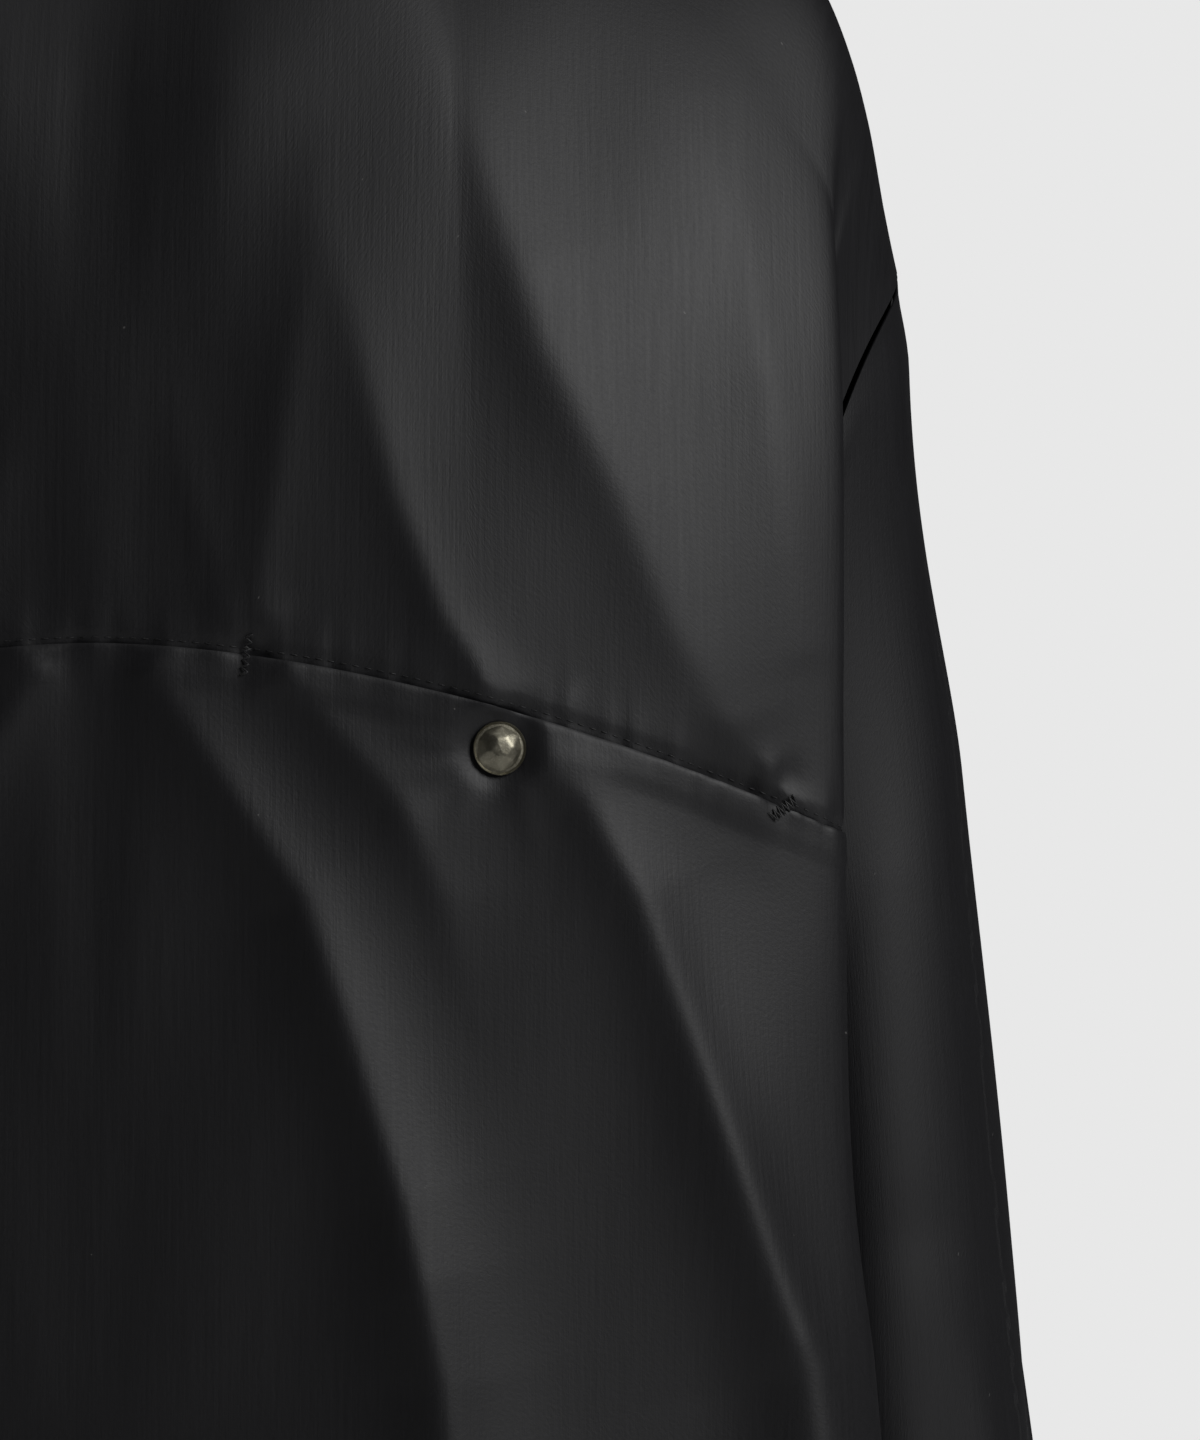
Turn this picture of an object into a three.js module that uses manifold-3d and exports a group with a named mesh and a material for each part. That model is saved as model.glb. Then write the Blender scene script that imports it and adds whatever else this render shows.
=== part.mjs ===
// Sleeved barber cape with a back opening, as worn: a curved chest yoke, an A-line front, two pockets
// set in the chest seam, long sleeves with elastic cuffs, and a back that closes with press snaps.
// Millimetres. +Z up, the front faces -Y, +X is the wearer's left. The origin is the base of the neck.
import * as THREE from 'three';
import { mergeVertices } from 'three/addons/utils/BufferGeometryUtils.js';
import Module from 'manifold-3d';

// Cloth and clearances
const CLOTH = 1.6;
const GAP = 0.6;
// Levels
const UNDERARM_Z = -330;
const HEM_Z = -1040;
const CUFF_TOP_Z = -640;
const CUFF_HEIGHT = 28;
// Chest seam: z at centre front, its drop at the front fold, and the power of its curve
const SEAM_Z = -263.5;
const SEAM_DROP = 54;
const SEAM_REACH = 209;
const SEAM_POWER = 1.75;
// Pocket mouth, from tack to tack, and the lip that swings open
const MOUTH_IN_X = 42;
const MOUTH_OUT_X = 189;
const LIP_DEPTH = 36;
const SNAP_X = 111;
const SNAP_BELOW_SEAM = 11.2;
const BAG_DEPTH = 150;
const TACK_WIDTH = 0.016;
const LIP_GAP = 1.1;
// Neck
const NECK_R = 75;
const NECK_FRONT_Y = 72;
const NECK_BACK_Y = 66;
const NECK_FRONT_DROP = 58;
const NECK_BACK_DROP = 8;
const BAND_HEIGHT = 32;
const BAND_RISE = 3.6;
// Back overlap: how far the outer half stands off the inner half, and the snap levels
const STANDOFF = 7;
const OVERLAP_U = 0.28;
const BACK_SNAP_Z = [-150, -330, -510];
const SNAP_R = 7.5;

const BLACK = new THREE.MeshStandardMaterial({ color: 0x17171a, roughness: 0.72, metalness: 0 });
const THREAD = new THREE.MeshStandardMaterial({ color: 0x0d0d0f, roughness: 0.8, metalness: 0 });
const BRASS = new THREE.MeshStandardMaterial({ color: 0x8f8a6c, roughness: 0.38, metalness: 1 });
const STEEL = new THREE.MeshStandardMaterial({ color: 0x8a8a86, roughness: 0.4, metalness: 1 });
const ELASTIC = new THREE.MeshStandardMaterial({ color: 0x26262a, roughness: 0.9, metalness: 0 });

// Half section of the body at several levels: fold of the front, the hollow the sleeve hangs in, the
// corner of the back. Each row is x, y for stations 0 to 10, from centre front to centre back.
const LEVELS = [
  { z: -250, d: 133, f: [206, -83], a: [178, -64], s: [156, 4], b: [176, 66], c: [228, 80], e: 116 },
  { z: -330, d: 135, f: [208, -84], a: [178, -64], s: [156, 4], b: [176, 66], c: [236, 80], e: 118 },
  { z: -485, d: 141, f: [212, -87], a: [186, -66], s: [166, 4], b: [186, 68], c: [266, 86], e: 125 },
  { z: -650, d: 155, f: [226, -98], a: [207, -72], s: [196, 4], b: [210, 72], c: [290, 98], e: 140 },
  { z: -850, d: 180, f: [262, -112], a: [262, -80], s: [268, 2], b: [280, 72], c: [312, 112], e: 165 },
  { z: -1040, d: 205, f: [286, -124], a: [304, -80], s: [316, 0], b: [322, 62], c: [324, 120], e: 190 },
];
const SIDE_U = 5;
const BACK_U = 10;
const SHOULDER_U = 1.2;

const clamp01 = (t) => Math.min(1, Math.max(0, t));
const smooth = (a, b, t) => {
  const k = clamp01((t - a) / (b - a));
  return k * k * (3 - 2 * k);
};
const lerp = (a, b, t) => a + (b - a) * t;

function stations(level) {
  const { d, f, a, s, b, c, e } = level;
  return [
    [0, -d],
    [0.42 * f[0], lerp(-d, f[1], 0.1)],
    [0.78 * f[0], lerp(-d, f[1], 0.48)],
    f,
    a,
    s,
    b,
    c,
    [0.72 * c[0], lerp(e, c[1], 0.42)],
    [0.38 * c[0], lerp(e, c[1], 0.1)],
    [0, e],
  ];
}

const ROWS = LEVELS.map(stations);

function levelPoint(row, u) {
  const ring = [[-row[1][0], row[1][1]], ...row, [-row[9][0], row[9][1]]];
  const curve = new THREE.CatmullRomCurve3(ring.map(([x, y]) => new THREE.Vector3(x, y, 0)));
  return curve.getPoint((u + 1) / (ring.length - 1));
}

// A point of the body at station u and height z
function section(u, z) {
  let i = 0;
  while (i < LEVELS.length - 2 && z < LEVELS[i + 1].z) {
    i += 1;
  }
  const t = (z - LEVELS[i].z) / (LEVELS[i + 1].z - LEVELS[i].z);
  const p = levelPoint(ROWS[i], u).lerp(levelPoint(ROWS[i + 1], u), t);
  p.z = z;
  return p;
}

// The station of the front that lies at x
function stationAt(x) {
  let low = 0;
  let high = 3;
  for (let n = 0; n < 30; n += 1) {
    const mid = (low + high) / 2;
    if (section(mid, -290).x < x) {
      low = mid;
    } else {
      high = mid;
    }
  }
  return low;
}

function seamZ(u) {
  if (u > 3) {
    return lerp(SEAM_Z - SEAM_DROP, UNDERARM_Z, (u - 3) / 2);
  }
  return SEAM_Z - SEAM_DROP * Math.pow(section(u, -290).x / SEAM_REACH, SEAM_POWER);
}

// Armhole, from its top at angle 0, round the front to the underarm at PI, and back round the rear
const ARM_TOP = new THREE.Vector3(219, 6, -153);
const ARM_LOW = new THREE.Vector3(156, 4, UNDERARM_Z);
const SEAM_ANGLE = 0.35;
function armhole(angle) {
  const c = Math.cos(angle);
  const s = Math.sin(angle);
  const x = (ARM_TOP.x + ARM_LOW.x) / 2 + ((ARM_TOP.x - ARM_LOW.x) / 2) * c + (s > 0 ? 4 * s : -10 * s);
  const y = 5 - (s > 0 ? 68 : 62) * s;
  const z = (ARM_TOP.z + ARM_LOW.z) / 2 + ((ARM_TOP.z - ARM_LOW.z) / 2) * c;
  return new THREE.Vector3(x, y, z);
}

// Neckline at an angle from centre front
function neckline(angle) {
  const c = Math.cos(angle);
  const front = c > 0;
  const y = 5 - (front ? NECK_FRONT_Y : NECK_BACK_Y) * c;
  const z = -(front ? NECK_FRONT_DROP : NECK_BACK_DROP) * c * c;
  return new THREE.Vector3(NECK_R * Math.sin(angle), y, z);
}

const SHOULDER = new THREE.CatmullRomCurve3([
  new THREE.Vector3(75, 5, 0),
  new THREE.Vector3(125, 3, -16),
  new THREE.Vector3(172, -2, -42),
  new THREE.Vector3(204, -9, -92),
  armhole(SEAM_ANGLE),
]);

function topEdge(u) {
  const back = u > SIDE_U;
  const k = back ? BACK_U - u : u;
  if (k < SHOULDER_U) {
    const a = (k / SHOULDER_U) * (Math.PI / 2);
    return neckline(back ? Math.PI - a : a);
  }
  return SHOULDER.getPoint(Math.pow((k - SHOULDER_U) / (SIDE_U - SHOULDER_U), 0.6));
}

function drop(from, to, v) {
  const k = Math.sin((v * Math.PI) / 2);
  const h = 1 - Math.cos((v * Math.PI) / 2);
  return new THREE.Vector3(lerp(from.x, to.x, k), lerp(from.y, to.y, k), lerp(from.z, to.z, h));
}

// The lower edge that the upper back is drawn towards: plain near the shoulder, with the corner of the
// flare only near the underarm
const CORNER_U = 8.3;
const REAR_U = 8.3;
function backLow(u, v) {
  const low = section(u, UNDERARM_Z);
  if (u >= CORNER_U) {
    return low;
  }
  const t = (u - SIDE_U) / (CORNER_U - SIDE_U);
  const end = section(CORNER_U, UNDERARM_Z);
  const plain = ARM_LOW.clone();
  plain.x = lerp(ARM_LOW.x, end.x, t);
  plain.y = lerp(ARM_LOW.y, end.y, Math.sin((t * Math.PI) / 2));
  return plain.lerp(low, smooth(0.4, 1, v));
}

// Above the underarm the body runs from the neckline and shoulder seam down to its lower edge. The push
// towards the armhole shrinks near the front and rear faces, so that the cloth never crosses itself
function upper(u, v, low) {
  const back = u > SIDE_U;
  const p = drop(topEdge(u), low, v);
  const angle = back ? lerp(SEAM_ANGLE, -Math.PI, v) : lerp(SEAM_ANGLE, Math.PI, v);
  const start = drop(armhole(SEAM_ANGLE), ARM_LOW, v);
  const side = armhole(angle).sub(start);
  const w = back ? 1 - smooth(SIDE_U, 7.8, u) : smooth(2.2, SIDE_U, u);
  const flat = back ? REAR_U : 0;
  const face = drop(topEdge(flat), section(flat, back ? UNDERARM_Z : SEAM_Z), v).y;
  const room = clamp01((face - p.y) / (face - start.y));
  p.x += side.x * w;
  p.y += side.y * (back ? 1 : w) * room;
  p.z += side.z * w;
  return p;
}

const yokeAt = (u, v) => upper(u, v, section(u, seamZ(u)));
const frontAt = (u, v) => section(u, lerp(seamZ(u), HEM_Z, v));

// The back: v from 0 to 1 down to the underarm, from 1 to 2 down to the hem. Past centre back it mirrors.
function backAt(u, v) {
  if (u > BACK_U) {
    return backAt(2 * BACK_U - u, v).multiply(new THREE.Vector3(-1, 1, 1));
  }
  if (v < 1) {
    return upper(u, v, backLow(u, v));
  }
  return section(u, lerp(UNDERARM_Z, HEM_Z, v - 1));
}

// Away from the wearer, where u runs from the front round the left side and v runs down
function normalAt(surface, u, v) {
  const e = 1e-3;
  const du = surface(u + e, v).sub(surface(u - e, v));
  const dv = surface(u, v + e).sub(surface(u, v - e));
  return dv.cross(du).normalize();
}

// A unit box whose under side is split along the same diagonals as its upper side, so that the two walls
// of a warped sheet stay parallel
function sheetBox(nu, nv) {
  const box = new THREE.BoxGeometry(1, 1, 1, nu, 1, nv);
  const under = box.groups[3];
  for (let i = under.start; i < under.start + under.count; i += 6) {
    const a = box.index.getX(i);
    const c = box.index.getX(i + 4);
    box.index.setX(i + 2, c);
    box.index.setX(i + 3, a);
  }
  return box;
}

// A closed solid from a unit box: x and z become the surface's parameters, y the distance along its normal
function wrapped(surface, nu, nv, toUV, low, high) {
  const box = sheetBox(nu, nv);
  const at = box.attributes.position;
  const p = new THREE.Vector3();
  for (let i = 0; i < at.count; i += 1) {
    p.fromBufferAttribute(at, i);
    const a = p.x + 0.5;
    const b = p.z + 0.5;
    const [u, v] = toUV(a, b);
    const q = surface(u, v);
    q.addScaledVector(normalAt(surface, u, v), lerp(low, high, p.y + 0.5));
    at.setXYZ(i, q.x, q.y, q.z);
  }
  return outward(bare(box));
}

function bare(geometry) {
  const g = geometry.index ? geometry : geometry.clone();
  g.deleteAttribute('normal');
  g.deleteAttribute('uv');
  return mergeVertices(g, 1e-4);
}

function volume(g) {
  const p = g.attributes.position;
  const a = new THREE.Vector3();
  const b = new THREE.Vector3();
  const c = new THREE.Vector3();
  let sum = 0;
  for (let i = 0; i < g.index.count; i += 3) {
    a.fromBufferAttribute(p, g.index.getX(i));
    b.fromBufferAttribute(p, g.index.getX(i + 1));
    c.fromBufferAttribute(p, g.index.getX(i + 2));
    sum += a.dot(b.cross(c)) / 6;
  }
  return sum;
}

function outward(g) {
  if (volume(g) < 0) {
    const index = g.index;
    for (let i = 0; i < index.count; i += 3) {
      const keep = index.getX(i + 1);
      index.setX(i + 1, index.getX(i + 2));
      index.setX(i + 2, keep);
    }
  }
  return g;
}

const wasm = await Module();
wasm.setup();

function toManifold(g) {
  const vertProperties = new Float32Array(g.attributes.position.array);
  const triVerts = new Uint32Array(g.index.array);
  return new wasm.Manifold(new wasm.Mesh({ numProp: 3, vertProperties, triVerts }));
}

function fromManifold(solid) {
  const mesh = solid.getMesh();
  const g = new THREE.BufferGeometry();
  g.setAttribute('position', new THREE.BufferAttribute(new Float32Array(mesh.vertProperties), 3));
  g.setIndex(new THREE.BufferAttribute(new Uint32Array(mesh.triVerts), 1));
  return g;
}

function cut(geometry, cutters) {
  let solid = toManifold(geometry);
  for (const cutter of cutters) {
    solid = solid.subtract(toManifold(cutter));
  }
  return fromManifold(solid);
}

// Where a snap sits: a frame whose +Z leaves the cloth, at the middle of the outer layer
function seat(surface, u, v, lift, mirror) {
  const n = normalAt(surface, u, v);
  const p = surface(u, v).addScaledVector(n, lift);
  if (mirror) {
    p.x = -p.x;
    n.x = -n.x;
  }
  const m = new THREE.Matrix4().makeRotationFromQuaternion(
    new THREE.Quaternion().setFromUnitVectors(new THREE.Vector3(0, 0, 1), n),
  );
  return m.setPosition(p);
}

function holeAt(frame) {
  const g = bare(new THREE.CylinderGeometry(2.1, 2.1, 24, 12));
  g.rotateX(Math.PI / 2);
  return g.applyMatrix4(frame);
}

function mirrored(geometry) {
  return outward(geometry.clone().applyMatrix4(new THREE.Matrix4().makeScale(-1, 1, 1)));
}

const cape = new THREE.Group();

function add(name, geometry, material) {
  const mesh = new THREE.Mesh(geometry, material);
  mesh.name = name;
  cape.add(mesh);
  return mesh;
}

function addPair(name, geometry, material) {
  add(`${name}_left`, geometry, material);
  add(`${name}_right`, mirrored(geometry), material);
}

const HALF = CLOTH / 2;
const EDGE_V = 0.0012;
const FRONT_ROWS = 10;
const BACK_ROWS = 12;
const LOWER_V = [1, 1.127, 1.2535, 1.5, 1.75, 2];

// Front yoke, from armhole to armhole, above the chest seam
function makeYoke() {
  const both = (u, v) => {
    const p = yokeAt(Math.abs(u), v);
    p.x = u < 0 ? -p.x : p.x;
    return p;
  };
  const place = (a, b) => [lerp(-SIDE_U, SIDE_U, a), lerp(0, 0.9985, b)];
  add('yoke_front', wrapped(both, 30, FRONT_ROWS, place, -HALF, HALF), BLACK);
}

const LIP_IN = stationAt(MOUTH_IN_X);
const LIP_OUT = stationAt(MOUTH_OUT_X);
const SNAP_U = stationAt(SNAP_X);
const lipZ = (u, depth) => seamZ(u) - depth;
const lipAt = (u, depth) => section(u, lipZ(u, depth));
const lipSeat = (mirror) => seat(lipAt, SNAP_U, SNAP_BELOW_SEAM, 0, mirror);

// The strip of the front between the tacks, which is cut out of the panel and swings as the lip
function lipSolid(margin, low, high) {
  const place = (a, b) => [
    lerp(LIP_IN - margin * 0.012, LIP_OUT + margin * 0.012, a),
    lerp(1.0 - margin * 2, LIP_DEPTH + margin, b),
  ];
  return wrapped(lipAt, 8, 2, place, low, high);
}

function makeFrontPanel() {
  const both = (u, v) => {
    const p = frontAt(Math.abs(u), v);
    p.x = u < 0 ? -p.x : p.x;
    return p;
  };
  const place = (a, b) => [lerp(-SIDE_U, SIDE_U, a), lerp(EDGE_V, 1, b)];
  const body = wrapped(both, 30, 7, place, -HALF, HALF);
  const slot = lipSolid(LIP_GAP, -6, 6);
  add('front_panel', cut(body, [slot, mirrored(slot)]), BLACK);
}

function makeLips() {
  const lip = cut(lipSolid(0, -HALF, HALF), [holeAt(lipSeat(false))]);
  addPair('pocket_lip', lip, BLACK);
}

// Pocket bag: a pouch that hangs inside the front, open behind the lip
function makeBags() {
  const deep = (b) => lerp(STANDOFF, 15, smooth(0.24, 0.55, b));
  const bag = (inset, front, back, top, low) => {
    const box = sheetBox(6, 6);
    const at = box.attributes.position;
    const q = new THREE.Vector3();
    for (let i = 0; i < at.count; i += 1) {
      q.fromBufferAttribute(at, i);
      const u = lerp(LIP_IN + inset, LIP_OUT - inset, q.x + 0.5);
      const d = lerp(top, low, q.z + 0.5);
      const p = lipAt(u, d);
      const n = normalAt(lipAt, u, d);
      const reach = q.y > 0 ? front : deep(d / BAG_DEPTH) + back;
      p.addScaledVector(n, -reach);
      at.setXYZ(i, p.x, p.y, p.z);
    }
    return outward(bare(box));
  };
  const outer = bag(0, 2.2, HALF, 1.6, BAG_DEPTH);
  const hollow = bag(0.02, 3.2, -HALF, -8, BAG_DEPTH - 1.4);
  const mouth = bag(0.02, 0.5, -HALF, -8, LIP_DEPTH + 4);
  const pouch = cut(outer, [hollow, mouth, holeAt(lipSeat(false))]);
  addPair('pocket_bag', pouch, BLACK);
}

// Bar tacks that close each end of the pocket mouth, over the chest seam
function makeTacks() {
  const spots = [
    ['inner', LIP_IN - 0.03],
    ['outer', LIP_OUT + 0.04],
  ];
  for (const [name, u] of spots) {
    const place = (a, b) => [lerp(u - TACK_WIDTH / 2, u + TACK_WIDTH / 2, a), lerp(-5.5, 5.5, b)];
    addPair(`tack_${name}`, wrapped(lipAt, 1, 2, place, HALF + 0.4, HALF + 1.2), THREAD);
  }
}

// The back halves: a side part on the body, and a flap that swings open about a slanted fold
const FOLD = [
  [0, 9.0],
  [0.4, 8.75],
  [1, 8.1],
  [2, 7.55],
];
function foldU(v) {
  let i = 0;
  while (i < FOLD.length - 2 && v > FOLD[i + 1][0]) {
    i += 1;
  }
  const t = (v - FOLD[i][0]) / (FOLD[i + 1][0] - FOLD[i][0]);
  return lerp(FOLD[i][1], FOLD[i + 1][1], t);
}

const ALL_ROWS = BACK_ROWS + LOWER_V.length - 1;
function rowV(b) {
  const row = Math.round(b * ALL_ROWS);
  return row < BACK_ROWS ? row / BACK_ROWS : LOWER_V[row - BACK_ROWS];
}
// The outer half, which stands off to the rear near centre back
function lifted(u, v) {
  const p = backAt(u, v);
  p.y += STANDOFF * smooth(9.25, 9.7, u);
  return p;
}

function snapV(z) {
  if (z > UNDERARM_Z) {
    return Math.acos(1 - (z - topEdge(BACK_U).z) / (UNDERARM_Z - topEdge(BACK_U).z)) / (Math.PI / 2);
  }
  return 1 + (z - UNDERARM_Z) / (HEM_Z - UNDERARM_Z);
}

const backSeats = BACK_SNAP_Z.map((z) => seat(lifted, BACK_U, snapV(z), 0, false));

// Columns of the side part stand close together at the corner of the flare
const SIDE_COLUMNS = [SIDE_U + 0.012, 5.6, 6.2, 6.6, 6.85, 7, 7.15];
function sideU(a, v) {
  const end = foldU(v) - 0.008;
  const last = SIDE_COLUMNS[SIDE_COLUMNS.length - 1];
  const columns = [...SIDE_COLUMNS, lerp(last, end, 0.3), lerp(last, end, 0.62), end];
  return columns[Math.round(a * (columns.length - 1))];
}

function makeBack() {
  const sidePlace = (a, b) => {
    const v = rowV(b);
    return [sideU(a, v), Math.max(v, 0.004)];
  };
  addPair('back_side', wrapped(backAt, SIDE_COLUMNS.length + 2, ALL_ROWS, sidePlace, -HALF, HALF), BLACK);
  const flapPlace = (a, b) => {
    const v = rowV(b);
    return [lerp(foldU(v) + 0.008, BACK_U + OVERLAP_U, a), Math.max(v, 0.004)];
  };
  const holes = backSeats.map(holeAt);
  const outer = wrapped(lifted, 8, ALL_ROWS, flapPlace, -HALF, HALF);
  add('back_flap_left', cut(outer, holes), BLACK);
  const inner = wrapped(backAt, 8, ALL_ROWS, flapPlace, -HALF, HALF);
  add('back_flap_right', cut(mirrored(inner), holes), BLACK);
}

// Neckband: a standing strip on the neckline, h from its top edge down
const BAND_SPLIT = (104 * Math.PI) / 180;
const BAND_OVERLAP = (17 * Math.PI) / 180;
function bandAt(angle, h) {
  const p = neckline(angle);
  const lean = 1 - 0.05 * (1 - h);
  return new THREE.Vector3(p.x * lean, 5 + (p.y - 5) * lean, p.z + BAND_RISE + BAND_HEIGHT * (1 - h));
}
const bandLifted = (angle, h) => {
  const out = bandAt(angle, h);
  const n = normalAt(bandAt, angle, h);
  return out.addScaledVector(n, STANDOFF * smooth(2.35, 2.8, angle));
};
const bandSeat = seat(bandLifted, Math.PI, 0.5, 0, false);

function makeNeckband() {
  const frontPlace = (a, b) => [lerp(-BAND_SPLIT, BAND_SPLIT, a), b];
  add('neckband_front', wrapped(bandAt, 20, 1, frontPlace, -HALF, HALF), BLACK);
  const place = (a, b) => [lerp(BAND_SPLIT + 0.012, Math.PI + BAND_OVERLAP, a), b];
  const outer = wrapped(bandLifted, 10, 1, place, -HALF, HALF);
  add('neckband_back_left', cut(outer, [holeAt(bandSeat)]), BLACK);
  const inner = wrapped(bandAt, 10, 1, place, -HALF, HALF);
  add('neckband_back_right', cut(mirrored(inner), [holeAt(bandSeat)]), BLACK);
}

// Sleeve: starts on the armhole and becomes a plain tube that narrows to the cuff
const sleeveOuterX = (z) => 221 + 0.1225 * (-156 - z);
const sleeveRX = (z) => lerp(41, 34, clamp01((UNDERARM_Z - z) / (UNDERARM_Z - CUFF_TOP_Z)));
const sleeveRY = (z) => lerp(52, 40, clamp01((UNDERARM_Z - z) / (UNDERARM_Z - CUFF_TOP_Z)));
const SLEEVE_Y = 4;
function sleeveAt(angle, v) {
  const low = (1 - Math.cos(angle)) / 2;
  const start = armhole(angle);
  start.x += 3.2 * low;
  start.y *= 1 - 0.05 * Math.sqrt(low);
  start.z -= 0.9 + 1.2 * (1 - low);
  const z = lerp(start.z, CUFF_TOP_Z + GAP, v);
  const rx = sleeveRX(z);
  const x = sleeveOuterX(z) - rx + rx * Math.cos(angle);
  const y = SLEEVE_Y - sleeveRY(z) * Math.sin(angle);
  const w = smooth(0, 0.3, v);
  return new THREE.Vector3(lerp(start.x, x, w), lerp(start.y, y, w), z);
}

function tube(nAround, nAlong) {
  const wall = [];
  for (let i = 0; i <= nAlong; i += 1) {
    wall.push(new THREE.Vector2(11, i / nAlong));
  }
  for (let i = nAlong; i >= 0; i -= 1) {
    wall.push(new THREE.Vector2(10, i / nAlong));
  }
  wall.push(wall[0].clone());
  return new THREE.LatheGeometry(wall, nAround);
}

// The sleeve's seams line up with the rows of the yoke and the back
function sleeveAngle(step) {
  if (step <= FRONT_ROWS) {
    return lerp(SEAM_ANGLE, Math.PI, step / FRONT_ROWS);
  }
  return lerp(Math.PI, 2 * Math.PI + SEAM_ANGLE, (step - FRONT_ROWS) / BACK_ROWS);
}

function makeSleeves() {
  const around = FRONT_ROWS + BACK_ROWS;
  const g = tube(around, 8);
  const at = g.attributes.position;
  const p = new THREE.Vector3();
  for (let i = 0; i < at.count; i += 1) {
    p.fromBufferAttribute(at, i);
    const share = (Math.atan2(p.x, p.z) / (2 * Math.PI) + 1) % 1;
    const angle = sleeveAngle(Math.round(share * around) % around);
    const outer = Math.hypot(p.x, p.z) > 10.5;
    const n = normalAt(sleeveAt, angle, p.y);
    const q = sleeveAt(angle, p.y).addScaledVector(n, outer ? HALF : -HALF);
    at.setXYZ(i, q.x, q.y, q.z);
  }
  addPair('sleeve', outward(bare(g)), BLACK);
}

// Cuff: a turned casing, open at its top, with the elastic inside it
function ring(points, top, around) {
  const g = bare(new THREE.LatheGeometry(points.map(([r, z]) => new THREE.Vector2(r, z)), around));
  g.rotateX(Math.PI / 2);
  g.scale(1, 40 / 34, 1);
  g.translate(sleeveOuterX(CUFF_TOP_Z) - 34, SLEEVE_Y, top);
  return outward(g);
}

function makeCuffs() {
  const bottom = -CUFF_HEIGHT;
  const casing = [
    [35, 0], [33.4, 0], [33.4, bottom + 1.8], [28.8, bottom + 1.8], [28.8, -2], [27.4, -2],
    [27.4, bottom], [35, bottom], [35, 0],
  ];
  addPair('cuff', ring(casing, CUFF_TOP_Z, 22), BLACK);
  const band = [[32.4, -6], [30.2, -6], [30.2, bottom + 4], [32.4, bottom + 4], [32.4, -6]];
  addPair('elastic', ring(band, CUFF_TOP_Z, 22), ELASTIC);
}

// Press snap: a domed cap whose post rivets the socket under the outer layer, and a stud held to the
// inner layer by its own post. Heights run along the snap's axis from the middle of the outer layer.
const turn = (pairs, around) => {
  const g = bare(new THREE.LatheGeometry(pairs.map(([r, z]) => new THREE.Vector2(r, z)), around));
  return outward(g.rotateX(Math.PI / 2));
};
const CAP = [
  [0, 3.5], [4.2, 3.0], [6.7, 2.1], [SNAP_R, 1.3], [SNAP_R - 0.7, 1.1], [1.6, 1.1], [1.6, -1.9],
  [0, -1.9],
];
const SOCKET = [
  [2.0, -1.5], [6.6, -1.5], [6.9, -4.0], [4.5, -4.2], [4.5, -2.3], [2.0, -2.3], [2.0, -1.5],
];
const STUD = [
  [2.0, -2.7], [3.7, -2.7], [4.0, -3.3], [3.7, -4.9], [6.3, -4.9], [6.3, -5.8], [2.0, -5.8],
  [2.0, -2.7],
];
const POST = [[0, -3.6], [1.6, -3.6], [1.6, -8.6], [6.2, -8.6], [6.2, -9.4], [0, -9.4]];

function makeSnap(name, frame) {
  const parts = [
    ['cap', CAP, BRASS, 14],
    ['socket', SOCKET, STEEL, 12],
    ['stud', STUD, STEEL, 12],
    ['post', POST, STEEL, 10],
  ];
  for (const [kind, profile, material, around] of parts) {
    const mesh = add(`${name}_${kind}`, turn(profile, around), material);
    frame.decompose(mesh.position, mesh.quaternion, mesh.scale);
  }
}

makeYoke();
makeFrontPanel();
makeLips();
makeBags();
makeTacks();
makeBack();
makeNeckband();
makeSleeves();
makeCuffs();
makeSnap('pocket_snap_left', lipSeat(false));
makeSnap('pocket_snap_right', lipSeat(true));
makeSnap('neck_snap', bandSeat);
backSeats.forEach((frame, i) => makeSnap(`back_snap_${i + 1}`, frame));

export default cape;
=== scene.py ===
import math

import bmesh
import bpy
import numpy as np
from mathutils import Matrix, Vector


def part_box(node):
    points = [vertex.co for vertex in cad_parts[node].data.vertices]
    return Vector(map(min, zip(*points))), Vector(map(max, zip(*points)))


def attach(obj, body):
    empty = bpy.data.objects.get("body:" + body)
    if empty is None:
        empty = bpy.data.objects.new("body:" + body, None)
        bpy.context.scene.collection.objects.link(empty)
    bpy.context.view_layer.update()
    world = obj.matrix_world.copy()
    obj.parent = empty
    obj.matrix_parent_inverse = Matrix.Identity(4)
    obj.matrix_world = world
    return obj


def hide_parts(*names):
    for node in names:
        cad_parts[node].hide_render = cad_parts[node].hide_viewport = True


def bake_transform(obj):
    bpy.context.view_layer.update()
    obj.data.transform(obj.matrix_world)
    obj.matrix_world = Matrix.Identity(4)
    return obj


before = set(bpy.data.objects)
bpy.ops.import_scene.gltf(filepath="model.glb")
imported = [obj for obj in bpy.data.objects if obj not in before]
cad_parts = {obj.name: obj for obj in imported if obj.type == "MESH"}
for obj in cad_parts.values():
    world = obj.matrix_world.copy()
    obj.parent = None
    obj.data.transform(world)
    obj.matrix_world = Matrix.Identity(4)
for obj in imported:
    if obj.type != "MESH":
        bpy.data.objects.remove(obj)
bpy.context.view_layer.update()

MM = 0.001

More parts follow.
